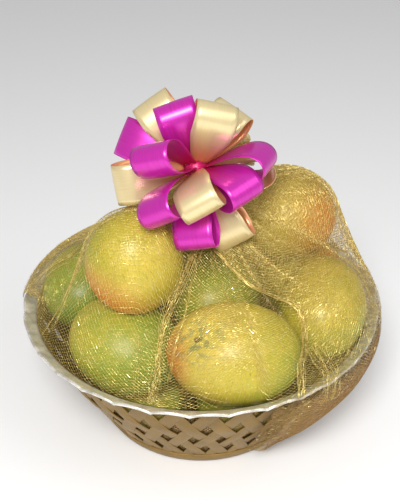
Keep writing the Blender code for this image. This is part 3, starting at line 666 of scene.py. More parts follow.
def make_mango(mango, skin, stalk):
    """A mango: fuller at the stalk's end, gently uneven, with a dimple and a short stalk."""
    middle, half_sizes = np.array(mango.middle), np.array(mango.half_sizes)
    polar, round_it = ball_angles(MANGO_RINGS, MANGO_SEGMENTS)
    ball = np.stack([np.cos(polar), np.sin(polar) * np.cos(round_it), np.sin(polar) * np.sin(round_it)], -1)
    ball = np.concatenate([ball.reshape(-1, 3), [[1, 0, 0], [-1, 0, 0]]])
    stem = unit(mango.stem)
    phase = 10 * middle[:2] @ [17, 31]
    lumps = np.sin(3.1 * ball[:, 0] + phase) * np.cos(2.3 * ball[:, 1] - phase)
    lumps = lumps + np.sin(2.7 * ball[:, 2] + 2 * phase)
    nearness = ball @ stem
    off_stem = np.arccos(np.clip(nearness, -1, 1))
    size = MANGO_FULLNESS + 0.006 * lumps - 0.02 * (1 - nearness) / 2
    shape = ball * size[:, None] * half_sizes
    dimple = STEM_DIMPLE * np.exp(-((off_stem / STEM_DIMPLE_WIDTH) ** 2))
    shape -= ball * dimple[:, None]
    turn = mango_turn(mango)
    points = shape @ turn.T + middle
    faces = capped_faces(MANGO_RINGS - 1, MANGO_SEGMENTS)
    # The stalk is a short tapered peg in the dimple
    root = stem * MANGO_FULLNESS * half_sizes - stem * STEM_DIMPLE
    side = unit(np.cross(stem, (0.3, 0.2, 0.9)))
    other = np.cross(stem, side)
    peg = []
    for height, radius in STALK_PROFILE:
        for turned in bearings_round(STALK_SIDES):
            peg.append(root + stem * height + radius * (math.cos(turned) * side + math.sin(turned) * other))
    start = len(points)
    top = start + (len(STALK_PROFILE) - 1) * STALK_SIDES
    points = np.concatenate([points, np.array(peg) @ turn.T + middle])
    peg_faces = grid_faces(len(STALK_PROFILE), STALK_SIDES, start)
    peg_faces += [tuple(range(top, top + STALK_SIDES)), tuple(range(start + STALK_SIDES - 1, start - 1, -1))]
    finishes = [0] * len(faces) + [1] * len(peg_faces)
    thing = add_mesh("mango_" + mango.name, points, faces + peg_faces, [skin, stalk], finishes)
    ways = ball @ turn.T
    # Ripeness towards ripe_way is partly real, partly painted light on the lit side and painted shade on the
    # far side
    ripe = mango.ripe + 0.5 * (ways @ unit(mango.ripe_way)) * np.linalg.norm(mango.ripe_way)
    blush = smooth_step(ways @ unit(mango.blush), 1 - mango.blush_reach, 1.0)
    stalk_toned_and_shaded = 0.9 * np.exp(-((off_stem / STALK_TONE_AND_SHADE_WIDTH) ** 2))
    colours = np.stack([ripe, blush, stalk_toned_and_shaded], 1)
    colours = np.concatenate([colours, np.zeros((len(peg), 3))])
    add_attribute(thing, "skin", colours)
    return thing


# Basket


def wall_radius(height):
    """The wall's outer radius at that height."""
    return np.interp(height, WALL_HEIGHTS, WALL_RADII)


def scallop(bearing):
    """0 at the rim's cusps, rising to 1 in the middle of each scallop."""
    return np.abs(np.sin((bearing - CUSP_BEARING) * COLUMNS / 2)) ** 0.7


def woven_strips(finish):
    """Two sets of flat strips that cross on a slant and pass over and under each other."""
    step = 2 * math.pi / COLUMNS
    heights = np.linspace(STRIP_FOOT, STRIP_TOP, STRIP_STEPS)
    down = (TOP_HOLES - heights) / HOLE_ROW_PITCH / 2
    across = np.linspace(-1, 1, STRIP_POINTS)
    points, faces = [], []
    for slant in (-1, 1):
        wave = -slant * WEAVE_DEPTH * np.cos(2 * math.pi * down)
        for i in range(COLUMNS):
            middle = i + 0.5 + slant * down
            bearing = CUSP_BEARING + step * (middle[:, None] + STRIP_SHARE * across)
            radius = wall_radius(heights) - STRIP_THICKNESS / 2 - WEAVE_DEPTH
            radius = (radius + wave)[:, None] - STRIP_CROWN * across**2
            start = len(points)
            height = np.repeat(heights[:, None], STRIP_POINTS, 1)
            points += list(round_about(radius, bearing, height).reshape(-1, 3))
            faces += grid_faces(STRIP_STEPS, STRIP_POINTS, start, closed=False)
    thing = add_mesh("basket_strips", points, faces, [finish])
    solid = thing.modifiers.new("strip thickness", "SOLIDIFY")
    solid.thickness = STRIP_THICKNESS
    solid.offset = 0
    bevel = thing.modifiers.new("worn edges", "BEVEL")
    bevel.width = STRIP_BEVEL
    bevel.segments = 2
    bevel.limit_method = "ANGLE"
    bevel.angle_limit = math.radians(50)
    return bake(thing)


def basket_rim(bright, dull):
    """The rim: a scalloped rolled bead, bright, and the broad satin flange that joins it to the wall."""
    outline = list(FLANGE_BELOW)
    bead_start = len(outline)
    for turn in map(math.radians, BEAD_ANGLES):
        radius = LIP_RADIUS - LIP_BEAD + LIP_BEAD * math.cos(turn)
        outline.append((radius, LIP_HEIGHT + BEAD_LIFT + LIP_BEAD * math.sin(turn), 1.0))
    bead_end = len(outline) - 1
    outline += FLANGE_ABOVE
    bearings = bearings_round(RIM_STEPS, CUSP_BEARING)
    points = []
    for radius, height, share in outline:
        lift = scallop(bearings) * share
        points += list(round_about(radius + LIP_SCALLOP * lift, bearings, height + LIP_RISE * lift))
    faces = tube_faces(len(outline), RIM_STEPS)
    kinds = [0 if bead_start <= i < bead_end else 1 for i in range(len(outline)) for _ in range(RIM_STEPS)]
    return add_mesh("basket_rim", points, faces, [bright, dull], kinds)


def basket_foot(finish):
    """The foot: a plain band with a rounded lower edge, and the flat base."""
    bearings = bearings_round(FOOT_SEGMENTS, CUSP_BEARING)
    points = []
    for radius, height in FOOT_OUTLINE:
        points += list(round_about(radius, bearings, height))
    points += [(0, 0, 0.0), (0, 0, BASE_THICKNESS)]
    return add_mesh("basket_foot", points, capped_faces(len(FOOT_OUTLINE), FOOT_SEGMENTS), [finish])


# Net


def fruit_height(x, y):
    """Height of the highest mango over each (x, y), with the net's thickness over it."""
    highest = np.zeros_like(x)
    for mango in MANGOES:
        turn = mango_turn(mango)
        spread = turn @ np.diag(1 / (np.array(mango.half_sizes) + NET_OVER_FRUIT) ** 2) @ turn.T
        dx, dy = x - mango.middle[0], y - mango.middle[1]
        slope = spread[0, 2] * dx + spread[1, 2] * dy
        rest = spread[0, 0] * dx**2 + 2 * spread[0, 1] * dx * dy + spread[1, 1] * dy**2 - 1
        inside = slope**2 - spread[2, 2] * rest
        top = mango.middle[2] + (np.sqrt(np.maximum(inside, 0)) - slope) / spread[2, 2]
        highest = np.where(inside > 0, np.maximum(highest, top), highest)
    return highest


def fold_share(bearings, middle=FOLD_MIDDLE, half=FOLD_HALF):
    """1 where the net lies over the rim in the loose fold, 0 where it is tucked in behind the rim."""
    return smooth_step(1 - np.abs(wrapped(bearings - middle)) / half, -0.10, 0.02)


def back_share(bearings):
    """1 at the back left, where the net is drawn round the rim, 0 elsewhere."""
    return fold_share(bearings, BACK_MIDDLE, BACK_HALF)


def stretched_net(bearings):
    """Rings from the neck to the rim, where the net lies when it is pulled tight over the fruit."""
    share = np.linspace(0, 1, HEAP_RINGS + 1)[:, None]
    out = fold_share(bearings) + back_share(bearings)
    edge = TUCK_RADIUS + (RIM_NET_RADIUS - TUCK_RADIUS) * np.clip(2 * out - 1, 0, 1)
    edge_height = TUCK_HEIGHT + (RIM_NET_HEIGHT - TUCK_HEIGHT) * np.clip(2 * out, 0, 1)
    x = (1 - share) * (NECK_FOOT[0] + NECK_FOOT_RADIUS * np.cos(bearings)) + share * edge * np.cos(bearings)
    y = (1 - share) * (NECK_FOOT[1] + NECK_FOOT_RADIUS * np.sin(bearings)) + share * edge * np.sin(bearings)
    fruit = fruit_height(x, y)
    z = (1 - share) * NECK_FOOT[2] + share * edge_height
    step = np.hypot(x[1:] - x[:-1], y[1:] - y[:-1])
    width = np.hypot(np.roll(x, -1, 1) - x, np.roll(y, -1, 1) - y)
    along = (width[1:] + width[:-1]) / 2 / step
    across = SIDEWAYS_PULL * (step[1:] + step[:-1]) / 2 / width[1:-1]
    before = np.roll(across, 1, 1)
    total = along[:-1] + along[1:] + across + before
    chequer = np.add.outer(np.arange(HEAP_RINGS - 1), np.arange(len(bearings))) % 2
    for _ in range(SETTLING_ROUNDS):
        for colour in (0, 1):
            middle = z[1:-1]
            pull = along[:-1] * z[:-2] + along[1:] * z[2:]
            pull = pull + across * np.roll(middle, -1, 1) + before * np.roll(middle, 1, 1)
            moved = np.maximum(middle + OVER_RELAXATION * (pull / total - middle), fruit[1:-1])
            z[1:-1] = np.where(chequer == colour, moved, middle)
    return [np.stack([x[i], y[i], z[i]], 1) for i in range(HEAP_RINGS + 1)]


def fold_ring(bearings, share):
    """A ring of the loose fold, from its lower edge, share 0, to the rim, share 1, in soft ripples."""
    across = np.clip(np.abs(wrapped(bearings - FOLD_MIDDLE)) / FOLD_HALF, 0, 1)
    top_radius, top = OVER_RIM[0]
    lowest = FOLD_EDGE_HEIGHT + FOLD_EDGE_RISE * across**4
    height = lowest + (top - lowest) * share
    down = np.clip((top - height) / (top - FOLD_EDGE_HEIGHT), 0, 1)
    loose = np.exp(-((wrapped(bearings - SLACK_BEARING) / SLACK_SPREAD) ** 4))
    bulge = SLACK * loose * np.sin(math.pi * down**SLACK_DROP)
    ripple = RIPPLE * down * (1 + np.sin(31 * bearings + 9 * down) + np.sin(17 * bearings - 6 * down))
    radius = top_radius + (FOLD_EDGE_RADIUS - top_radius) * down + bulge + ripple
    return round_about(radius, bearings, height)


def neck_ring(bearings, ring):
    """A ring of the neck or the frill: it leans over towards the frill's way and is pleated."""
    up = Vector((0, 0, 1))
    normal = (1 - ring.lean) * up + ring.lean * Vector(FRILL_WAY).normalized()
    turn = np.array(up.rotation_difference(normal).to_matrix())
    radius = ring.radius * (1 + ring.pleat * np.cos(PLEATS * bearings))
    return round_about(radius, bearings, 0) @ turn.T + ring.middle


class NetSurface:
    """Where the net lies, from the fold's lower edge to the frill, by length along it and bearing."""

    def __init__(self):
        self.bearings = bearings_round(RAYS)
        rings = [fold_ring(self.bearings, share) for share in np.linspace(0, 1, FOLD_RINGS)]
        rings.append(round_about(OVER_RIM[1][0], self.bearings, OVER_RIM[1][1]))
        edge = len(rings)
        rings += stretched_net(self.bearings)[::-1]
        self.neck_start = len(rings) - 1
        for before, after in zip((None,) + NECK_RINGS, NECK_RINGS):
            first = rings[self.neck_start] if before is None else neck_ring(self.bearings, before)
            second = neck_ring(self.bearings, after)
            for i in range(RINGS_BETWEEN_NECK_RINGS):
                share = (i + 1) / RINGS_BETWEEN_NECK_RINGS
                rings.append(first * (1 - share) + second * share)
        self.rings = np.array(rings)
        in_fold = fold_share(self.bearings) == 1
        steps = np.linalg.norm(np.diff(self.rings[:, in_fold], axis=0), axis=2).mean(1)
        self.lengths = np.concatenate([[0], np.cumsum(steps)])
        self.rim_length = self.lengths[edge]
        self.neck_length = self.lengths[self.neck_start]
        along = np.gradient(self.rings, axis=0)
        around = (np.roll(self.rings, -1, 1) - np.roll(self.rings, 1, 1)) / 2
        normals = np.cross(around, along)
        self.normals = normals / np.maximum(np.linalg.norm(normals, axis=2, keepdims=True), 1e-9)

    def there(self, length, bearing):
        """False outside the basket away from the loose fold, where there is no net."""
        hem = self.rim_length - BACK_HEM * (back_share(bearing) == 1)
        return (length >= hem) | (fold_share(bearing) == 1)

    def at(self, length, bearing):
        """Points and outward normals at those lengths and bearings."""
        i = np.clip(np.searchsorted(self.lengths, length, "right") - 1, 0, len(self.lengths) - 2)
        share = np.clip((length - self.lengths[i]) / (self.lengths[i + 1] - self.lengths[i]), 0, 1)[..., None]
        place = (bearing / (2 * math.pi) * RAYS) % RAYS
        k = np.floor(place).astype(int) % RAYS
        turn = (place - np.floor(place))[..., None]
        after = (k + 1) % RAYS
        found = []
        for field in (self.rings, self.normals):
            low = field[i, k] * (1 - turn) + field[i, after] * turn
            high = field[i + 1, k] * (1 - turn) + field[i + 1, after] * turn
            found.append(low * (1 - share) + high * share)
        return found


def off_crease(crease, length, bearing):
    """How far round a place is from a crease, in widths of the crease."""
    middle = np.radians(np.interp(length, CREASE_LENGTHS, (crease.rim, crease.middle, crease.neck)))
    return wrapped(bearing - middle) / math.radians(crease.width)


def bunching(length, bearing):
    """How far round the threads shift: they sway a little, and the creases draw them together."""
    shift = 0.010 * np.sin(23 * bearing + 1.3) + 0.006 * np.sin(41 * bearing + 30 * length)
    for crease in CREASES:
        off = off_crease(crease, length, bearing)
        shift = shift - crease.pull * math.radians(crease.width) * off * np.exp(-(off**2))
    return shift * np.interp(length, (0, 0.123, 0.200), (0.3, 0.7, 1.0))


def flap_share(length, bearing):
    """1 in the flap, where the net lies in several layers, falling to 0 outside it."""
    edge = np.radians(np.interp(length, FLAP_LENGTHS, FLAP_EDGE))
    turn = wrapped(bearing)
    started = smooth_step(turn - edge, 0, math.radians(1.5))
    ended = smooth_step(math.radians(FLAP_END) - turn, 0, math.radians(FLAP_FADE))
    return started * ended * smooth_step(length, FLAP_FOOT, FLAP_LENGTHS[0] + 0.002)


def flap_fill(length, bearing):
    """The share of the flap's threads that lie there: all towards the neck, fewer over the lower fruit."""
    return flap_share(length, bearing) * (0.25 + 0.75 * smooth_step(length, 0.165, 0.245))


def slack_share(length, bearing):
    """1 in the loose fold over the rim and outside it, falling to 0 to its left and towards the heap."""
    turn = 1 + wrapped(bearing - FOLD_MIDDLE) / FOLD_HALF
    return smooth_step(turn, 0, 0.45) * smooth_step(FLAP_FOOT - length, 0, 0.008)


def net_cover(surface, length, bearing):
    """How closely the sheer ground covers what is under it, and whether it is the loose fold, painted brown
    as shade.
    """
    up = np.clip((length - surface.rim_length) / (surface.neck_length - surface.rim_length), 0, 1)
    cover = OPEN_COVER + NECK_COVER * smooth_step(up, 0.74, 1.0) ** 1.5
    for crease in CREASES:
        cover = cover + CREASE_COVER * crease.pull * up * np.exp(-(off_crease(crease, length, bearing) ** 2))
    flap = flap_share(length, bearing) * (FLAP_COVER + FLAP_NECK_COVER * up**1.5)
    slack = slack_share(length, bearing)
    over_rim = back_share(bearing) * smooth_step(0.10 - up, 0, 0.08)
    behind = smooth_step(np.sin(bearing), -0.1, 0.4) + 2 * over_rim
    cover = np.clip(cover + BACK_COVER * behind + flap + FOLD_COVER * slack, 0, FULL_COVER)
    return np.stack([cover, slack, 0 * slack], -1)


def lining(bearings):
    """Rings of the net that is tucked in between the fruit and the wall, from behind the rim down."""
    rings = [round_about(TUCK_RADIUS, bearings, TUCK_HEIGHT)]
    for height in np.linspace(LINING_TOP, LINING_FOOT, LINING_RINGS - 1):
        rings.append(round_about(wall_radius(height) - LINING_GAP, bearings, height))
    return np.array(rings)


def thread_maker(finish):
    """Geometry Nodes tree: the mesh's edges become fine three-sided threads."""
    tree = bpy.data.node_groups.new("threads along edges", "GeometryNodeTree")
    tree.interface.new_socket("Net", in_out="INPUT", socket_type="NodeSocketGeometry")
    radius = tree.interface.new_socket("Thread radius", in_out="INPUT", socket_type="NodeSocketFloat")
    tree.interface.new_socket("Threads", in_out="OUTPUT", socket_type="NodeSocketGeometry")
    inlet = add_node(tree, "NodeGroupInput")
    curves = add_node(tree, "GeometryNodeMeshToCurve", {0: inlet.outputs["Net"]})
    turned = add_node(tree, "FunctionNodeRandomValue", {2: 0.0, 3: math.pi, "Seed": SEED}, data_type="FLOAT")
    tilted = {"Curve": curves.outputs[0], "Tilt": turned.outputs[1]}
    tilted = add_node(tree, "GeometryNodeSetCurveTilt", tilted).outputs[0]
    section = {"Resolution": 3, "Radius": inlet.outputs["Thread radius"]}
    section = add_node(tree, "GeometryNodeCurvePrimitiveCircle", section).outputs[0]
    swept = add_node(tree, "GeometryNodeCurveToMesh", {"Curve": tilted, "Profile Curve": section})
    flat = add_node(tree, "GeometryNodeSetShadeSmooth", {"Geometry": swept.outputs[0], "Shade Smooth": False})
    real = add_node(tree, "GeometryNodeRealizeInstances", {0: flat.outputs[0]})
    coloured = add_node(tree, "GeometryNodeSetMaterial", {"Geometry": real.outputs[0], "Material": finish})
    add_node(tree, "NodeGroupOutput", {0: coloured.outputs[0]})
    return tree, radius.identifier


def threads(name, points, edges, maker, radius):
    """A piece of net: threads of that radius along the edges."""
    mesh = bpy.data.meshes.new(name)
    used, index = np.unique(edges, return_inverse=True)
    mesh.from_pydata([tuple(map(float, p)) for p in points[used]], index.reshape(-1, 2).tolist(), [])
    thing = bpy.data.objects.new(name, mesh)
    bpy.context.collection.objects.link(thing)
    tree, socket = maker
    made = thing.modifiers.new("threads", "NODES")
    made.node_group = tree
    made[socket] = radius
    return bake(thing)


def lattice(surface, columns, lift, crumple):
    """Corners and edges of the net's diamond cells, and each corner's length and bearing."""
    last = surface.lengths[-1]
    rows = int(last / HALF_CELL)
    across = columns // 2
    row, column = np.meshgrid(np.arange(rows + 1), np.arange(across), indexing="ij")
    bearing = 2 * math.pi * (2 * column + row % 2) / columns
    length = row * HALF_CELL
    bearing = bearing + bunching(length, bearing)
    bearing = bearing + crumple * rng.normal(0, 1, row.shape) * 2 * math.pi / columns
    length = length + HALF_CELL * (np.sin(11 * bearing + columns) + crumple * rng.normal(0, 1, row.shape))
    length = np.clip(length, 0, last)
    point, normal = surface.at(length, bearing)
    points = (point + normal * lift).reshape(-1, 3)
    edges = []
    for i in range(rows):
        here = i * across + np.arange(across)
        for turn in (0, 1):
            there = (i + 1) * across + (np.arange(across) + turn - (i + 1) % 2) % across
            edges.append(np.stack([here, there], 1))
    return points, np.concatenate(edges), length.reshape(-1), bearing.reshape(-1)


def folded_layer(surface, columns, lift, crumple, share):
    """A further layer of the net where share is not 0, thinning out towards its sides."""
    points, edges, length, bearing = lattice(surface, columns, lift, crumple)
    kept = share(length, bearing)[edges[:, 0]] > rng.random(len(edges))
    return points, edges[kept & surface.there(length, bearing)[edges].all(1)]


def fold_strands(surface):
    """Threads drawn together side by side along the folds."""
    points, edges = [], []
    count = 0
    for line in FOLD_LINES:
        lengths, bearings = np.array(line.points).T
        steps = int((lengths[-1] - lengths[0]) / STRAND_STEP) + 2
        length = np.linspace(lengths[0], lengths[-1], steps)
        middle = np.interp(length, lengths, bearings)
        for _ in range(line.strands):
            sway = np.sin(length * rng.uniform(60, 160) + rng.uniform(0, 6)) * 0.4
            bearing = np.radians(middle + line.spread * (rng.normal() + sway))
            point, normal = surface.at(length, bearing)
            points.append(point + normal * rng.uniform(0.0004, 0.0018))
            edges.append(count + np.stack([np.arange(steps - 1), np.arange(1, steps)], 1))
            count += steps
    return np.concatenate(points), np.concatenate(edges)


def net_threads(surface):
    """The net's threads: the spread net in sectors, its glints painted pale, the flap, the loose fold and the
    strands.
    """
    gold = thread_finish("gold lurex thread", "#C2A552", "#F0DC8E", 0.42)
    # Pale thread colour standing in for glints: painted highlight
    bright = thread_finish("bright gold lurex thread", "#F0DA80", "#FFF4C4", 0.24)
    # A darker copy of the gold, for the threads of the loose fold: painted shade
    brown = thread_finish("brown gold lurex thread", "#86663A", "#C09A5C", 0.50)
    thread_tree = thread_maker(gold)
    fold_tree = thread_maker(brown)
    glint_tree = thread_maker(bright)
    points, edges, length, bearing = lattice(surface, THREAD_COLUMNS, THREAD_LIFT, THREAD_CRUMPLE)
    edges = edges[surface.there(length, bearing)[edges].all(1)]
    is_glint = rng.random(len(edges)) < GLINT_SHARE
    in_fold = length[edges[:, 0]] < surface.rim_length - BROWN_SHADE_FROM
    sector = (bearing[edges[:, 0]] / (2 * math.pi) * SECTORS % SECTORS).astype(int)
    pieces = []
    for i in range(SECTORS):
        kept = (sector == i) & ~is_glint & ~in_fold
        pieces.append(threads(f"net_threads_{i + 1}", points, edges[kept], thread_tree, THREAD_RADIUS))
    fold_edges = edges[in_fold & ~is_glint]
    pieces.append(threads("net_fold_threads", points, fold_edges, fold_tree, FOLD_THREAD_RADIUS))
    pieces.append(threads("net_glints", points, edges[is_glint], glint_tree, GLINT_RADIUS))
    for i, (columns, lift) in enumerate(FLAP_LAYERS):
        layer = folded_layer(surface, columns, lift, FLAP_CRUMPLE, flap_fill)
        pieces.append(threads(f"net_flap_{i + 1}", *layer, thread_tree, THREAD_RADIUS))
    layer = folded_layer(surface, *SLACK_LAYER, SLACK_CRUMPLE, slack_share)
    pieces.append(threads("net_slack_fold", *layer, fold_tree, THREAD_RADIUS))
    pieces.append(threads("net_strands", *fold_strands(surface), thread_tree, STRAND_RADIUS))
    return pieces


def net_ground(surface):
    """The sheer ground of the net, with the lining that is tucked in between the fruit and the wall."""
    lengths = np.sort(np.append(np.linspace(0, surface.lengths[-1], GROUND_RINGS - 1), surface.rim_length))
    bearings = bearings_round(GROUND_RAYS)
    length, bearing = np.meshgrid(lengths, bearings, indexing="ij")
    spread, _ = surface.at(length, bearing)
    faces = np.array(grid_faces(GROUND_RINGS, GROUND_RAYS))
    faces = faces[surface.there(length, bearing).reshape(-1)[faces].all(1)].tolist()
    cover = net_cover(surface, length, bearing).reshape(-1, 3)
    tucked = lining(bearings)
    faces += grid_faces(LINING_RINGS, GROUND_RAYS, len(cover), flip=True)
    points = np.concatenate([spread.reshape(-1, 3), tucked.reshape(-1, 3)])
    # The lining is net tucked in, but it takes the brown of the loose fold and covers closely: painted shade
    # inside the basket. Towards the front it covers less
    in_front = smooth_step(-np.sin(bearings), 0.5, 0.9)
    tucked_cover = FULL_COVER - (FULL_COVER - LINING_FRONT_COVER) * in_front
    tucked_cover = np.stack([tucked_cover, 1 + 0 * in_front, 0 * in_front], 1)
    cover = np.concatenate([cover, np.tile(tucked_cover, (LINING_RINGS, 1))])
    ground = add_mesh("net_ground", points, faces, [ground_finish()])
    add_attribute(ground, "cover", cover)
    along = np.concatenate([length, surface.rim_length + tucked[..., 2] - TUCK_HEIGHT]).ravel()
    drawn = np.concatenate([bearing + bunching(length, bearing), np.tile(bearings, (LINING_RINGS, 1))])
    around = CELL_RADIUS * drawn.ravel()
    add_places(ground, "cells", np.stack([along + around, along - around, 0 * along], 1))
    return ground


# Ribbon


def face_way(bearing, lift):
    """A direction from a bearing in the bow's face and a lift towards its front, in degrees."""
    bearing, lift = math.radians(bearing), math.radians(lift)
    right = np.array([1.0, 0, 0])
    up = np.array([0, math.sin(FACE_TILT), math.cos(FACE_TILT)])
    front = np.array([0, -math.cos(FACE_TILT), math.sin(FACE_TILT)])
    return math.cos(lift) * (math.cos(bearing) * right + math.sin(bearing) * up) + math.sin(lift) * front


def ribbon_loop(loop, outer, inner):
    """A satin band bent into a teardrop, slightly crowned across, with creases where the knot pinches it."""
    out = face_way(loop.bearing, loop.lift)
    edge = face_way(loop.edge_bearing, loop.edge_lift)
    edge = unit(edge - edge.dot(out) * out)
    side = np.cross(out, edge)
    start = math.acos(1 - 2 * LOOP_FROM / loop.length)
    turn = np.linspace(start, 2 * math.pi - start, LOOP_STEPS + 1)
    half = np.sin(turn / 2)
    along = loop.length * (1 - np.cos(turn)) / 2
    across = LOOP_BULGE * np.sin(turn) * half**LOOP_PINCH
    along_slope = loop.length * np.sin(turn) / 2
    narrowing = LOOP_PINCH * half ** (LOOP_PINCH - 1) * np.cos(turn / 2) / 2
    across_slope = LOOP_BULGE * (half**LOOP_PINCH * np.cos(turn) + np.sin(turn) * narrowing)
    slope = np.hypot(along_slope, across_slope)
    inward = (across_slope[:, None] * out - along_slope[:, None] * side) / slope[:, None]
    share = np.minimum(along / loop.length / WIDE_FROM, 1) ** 0.8
    half_width = (RIBBON_WIDTH_AT_KNOT + (RIBBON_WIDTH - RIBBON_WIDTH_AT_KNOT) * share) / 2
    middle = np.array(BOW_MIDDLE) + along[:, None] * out + across[:, None] * side
    place = np.linspace(-1, 1, RIBBON_STEPS + 1)
    crease = 0.0005 * (1 - share)[:, None] * np.cos(2.5 * math.pi * place)
    crown = -0.0004 * share[:, None] * (1 - place**2)
    spread = middle[:, None] + half_width[:, None, None] * place[:, None] * edge
    length = np.concatenate([[0], np.cumsum(np.linalg.norm(np.diff(middle, axis=0), axis=1))])
    points = []
    for sign in (-1, 1):
        shift = (crease + crown + sign * RIBBON_THICKNESS / 2)[..., None] * inward[:, None]
        points.append((spread + shift).reshape(-1, 3))
    # Nearness of the knot, 1 there and 0 from 72% of the way out: how much painted knot shade each part gets
    near_knot = (1 - smooth_step(along / loop.length, 0.10, 0.72))[:, None] + 0 * place
    weave = np.stack([length[:, None] + 0 * place, half_width[:, None] * place, near_knot], -1).reshape(-1, 3)
    columns = RIBBON_STEPS + 1
    rows = LOOP_STEPS + 1
    count = rows * columns
    faces = grid_faces(rows, columns, closed=False)
    faces += grid_faces(rows, columns, count, closed=False, flip=True)
    outside = len(faces) // 2
    rim = [i * columns for i in range(rows)] + [(rows - 1) * columns + k for k in range(1, columns)]
    rim += [i * columns + columns - 1 for i in range(rows - 2, -1, -1)]
    rim += range(columns - 2, 0, -1)
    for i, corner in enumerate(rim):
        after = rim[(i + 1) % len(rim)]
        faces.append((corner, after, after + count, corner + count))
    kinds = [0] * outside + [1] * outside + [0] * len(rim)
    thing = add_mesh(f"ribbon_{loop.name}", np.concatenate(points), faces, [outer, inner], kinds)
    add_places(thing, "weave", np.concatenate([weave, weave]))
    return thing, float(length[-1])


def bow_knot(finish):
    """The pinched middle of the bow: a ball of ribbon folds that run into it from all round."""
    middle = np.array(BOW_MIDDLE)
    polar, round_it = ball_angles(KNOT_RINGS, KNOT_SEGMENTS)
    right, up, front = np.eye(3)[0], face_way(90, 0), face_way(0, 90)
    folds = 1 - 0.07 * (0.5 + 0.5 * np.cos(KNOT_FOLDS * round_it + 2 * polar)) * np.sin(polar)
    radius = KNOT_RADIUS * 0.99 * folds
    ball = (
        (np.sin(polar) * np.cos(round_it))[..., None] * right
        + (np.sin(polar) * np.sin(round_it))[..., None] * up
        + np.cos(polar)[..., None] * front
    )
    points = (middle + radius[..., None] * ball).reshape(-1, 3)
    ends = [middle + 0.93 * KNOT_RADIUS * front, middle - 0.93 * KNOT_RADIUS * front]
    points = np.concatenate([points, ends])
    faces = capped_faces(KNOT_RINGS - 1, KNOT_SEGMENTS, flip=True)
    thing = add_mesh("bow_knot_folds", points, faces, [finish])
    around = np.concatenate([KNOT_RADIUS * round_it.ravel(), [0, 0]])
    downwards = np.concatenate([KNOT_RADIUS * polar.ravel(), [0, math.pi * KNOT_RADIUS]])
    # 0.8 here is the share of painted knot shade on the crushed folds
    add_places(thing, "weave", np.stack([downwards, around, np.full(len(points), 0.8)], -1))
    return thing


def neck_tie(finish):
    """Ribbon wound three times round the neck."""
    section = []
    thick = (TIE_OUTER_RADIUS - TIE_INNER_RADIUS) / 2
    middle = (TIE_OUTER_RADIUS + TIE_INNER_RADIUS) / 2
    for turn in bearings_round(TIE_SECTION_POINTS):
        bulge = 1 - 0.10 * (0.5 + 0.5 * math.cos(2 * TIE_TURNS * turn))
        radius = middle + thick * bulge * math.copysign(abs(math.cos(turn)) ** 0.6, math.cos(turn))
        height = TIE_HEIGHT / 2 * bulge * math.copysign(abs(math.sin(turn)) ** 0.6, math.sin(turn))
        section.append((radius, height))
    bearings = bearings_round(TIE_SEGMENTS)
    points, weave = [], []
    for i, (radius, height) in enumerate(section):
        points += list(round_about(radius, bearings, height) + np.array(TIE_MIDDLE))
        # 0.3 here is the share of painted knot shade
        weave += [(radius * bearing, 0.0005 * i, 0.3) for bearing in bearings]
    thing = add_mesh("neck_tie_ribbon", points, tube_faces(len(section), TIE_SEGMENTS), [finish])
    add_places(thing, "weave", weave)
    return thing


# Light


def soft_light(name, place, size, power):
    """A square lamp that faces the middle of the heap."""
    lamp = bpy.data.lights.new(name, "AREA")
    lamp.size = size
    lamp.energy = power
    thing = bpy.data.objects.new(name, lamp)
    bpy.context.collection.objects.link(thing)
    thing.location = place
    x, y, z = unit(np.array(CAMERA_AIM) - np.array(place))
    thing.rotation_euler = (math.acos(-z), 0, math.atan2(-x, y))


# Build the pieces

skin, stalk = mango_skin(), mango_stalk()
for mango in (*MANGOES, *lower_mangoes()):
    dress(make_mango(mango, skin, stalk), "netted_mangoes")

strips = strip_finish()
bright_rim = rim_finish("bright silver plate", "#F4F1EA", "#C4BDAE", 0.22, 0.42)
dull_rim = rim_finish("tarnished silver plate", "#EEE8DA", "#C9C0A9", 0.40, 0.58)
dress(woven_strips(strips), "basket")
dress(basket_foot(strips), "basket")
dress(basket_rim(bright_rim, dull_rim), "basket")

surface = NetSurface()
net_pieces = net_threads(surface)
for piece in net_pieces:
    dress(piece, "netted_mangoes")
ground = net_ground(surface)
dress(ground, "netted_mangoes")

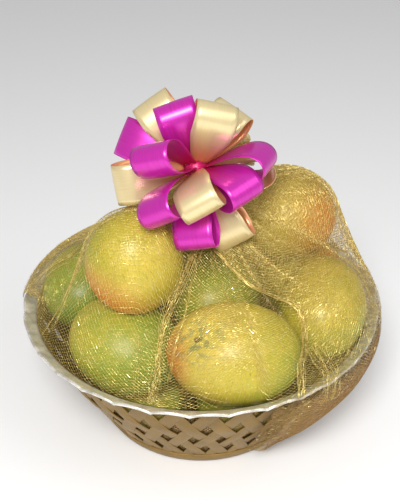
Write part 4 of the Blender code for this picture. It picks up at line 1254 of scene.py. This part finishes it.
# Each ribbon's last colour is painted shade by the knot. The gold loops' insides are salmon: painted shade
# and painted reflection of the magenta loops
magenta = ribbon_finish("magenta satin ribbon", "#BE1C96", "#D836BE", "#B8083E")
cream = ribbon_finish("pale gold satin ribbon", "#DAC692", "#E6D4A4", "#DC9660")
gold_inside_painted_shade = ribbon_finish("reverse of the gold ribbon", "#D88E5C", "#E8AC7C", "#C85A38")
sides = {"magenta": (magenta, magenta), "gold": (cream, gold_inside_painted_shade)}
for loop in LOOPS:
    piece, length = ribbon_loop(loop, *sides[loop.colour])
    dress(piece, "ribbon_loop_" + loop.name)
dress(bow_knot(magenta), "bow_knot")
dress(neck_tie(magenta), "neck_tie")

# Floor, light and camera

floor_finish, _, _ = new_finish("plain pale floor", Roughness=0.9, Base_Color=linear("#F4F4F4"))
corners = [(x * FLOOR_HALF, y * FLOOR_HALF, FLOOR_HEIGHT) for x, y in ((-1, -1), (1, -1), (1, 1), (-1, 1))]
floor = add_mesh("floor", corners, [(0, 1, 2, 3)], [floor_finish])

world = bpy.context.scene.world or bpy.data.worlds.new("studio")
bpy.context.scene.world = world
world.use_nodes = True
sky = world.node_tree.nodes["Background"]
sky.inputs["Color"].default_value = (1, 1, 1, 1)
sky.inputs["Strength"].default_value = SKY_STRENGTH

soft_light("key light", *KEY_LIGHT)
soft_light("fill light", *FILL_LIGHT)

camera = bpy.data.objects.new("camera", bpy.data.cameras.new("camera"))
bpy.context.collection.objects.link(camera)
camera.data.sensor_width = SENSOR
camera.data.lens = FOCAL_PIXELS / PICTURE_LONG_SIDE * SENSOR
camera.data.shift_x = (PICTURE_MIDDLE[0] - AIM_PIXEL[0]) / PICTURE_LONG_SIDE
camera.data.shift_y = (AIM_PIXEL[1] - PICTURE_MIDDLE[1]) / PICTURE_LONG_SIDE
camera.location = (
    CAMERA_AIM[0],
    CAMERA_AIM[1] - CAMERA_DISTANCE * math.cos(CAMERA_DIP),
    CAMERA_AIM[2] + CAMERA_DISTANCE * math.sin(CAMERA_DIP),
)
camera.rotation_euler = (math.pi / 2 - CAMERA_DIP, 0, 0)
bpy.context.scene.camera = camera
bpy.context.scene.view_settings.view_transform = "Standard"
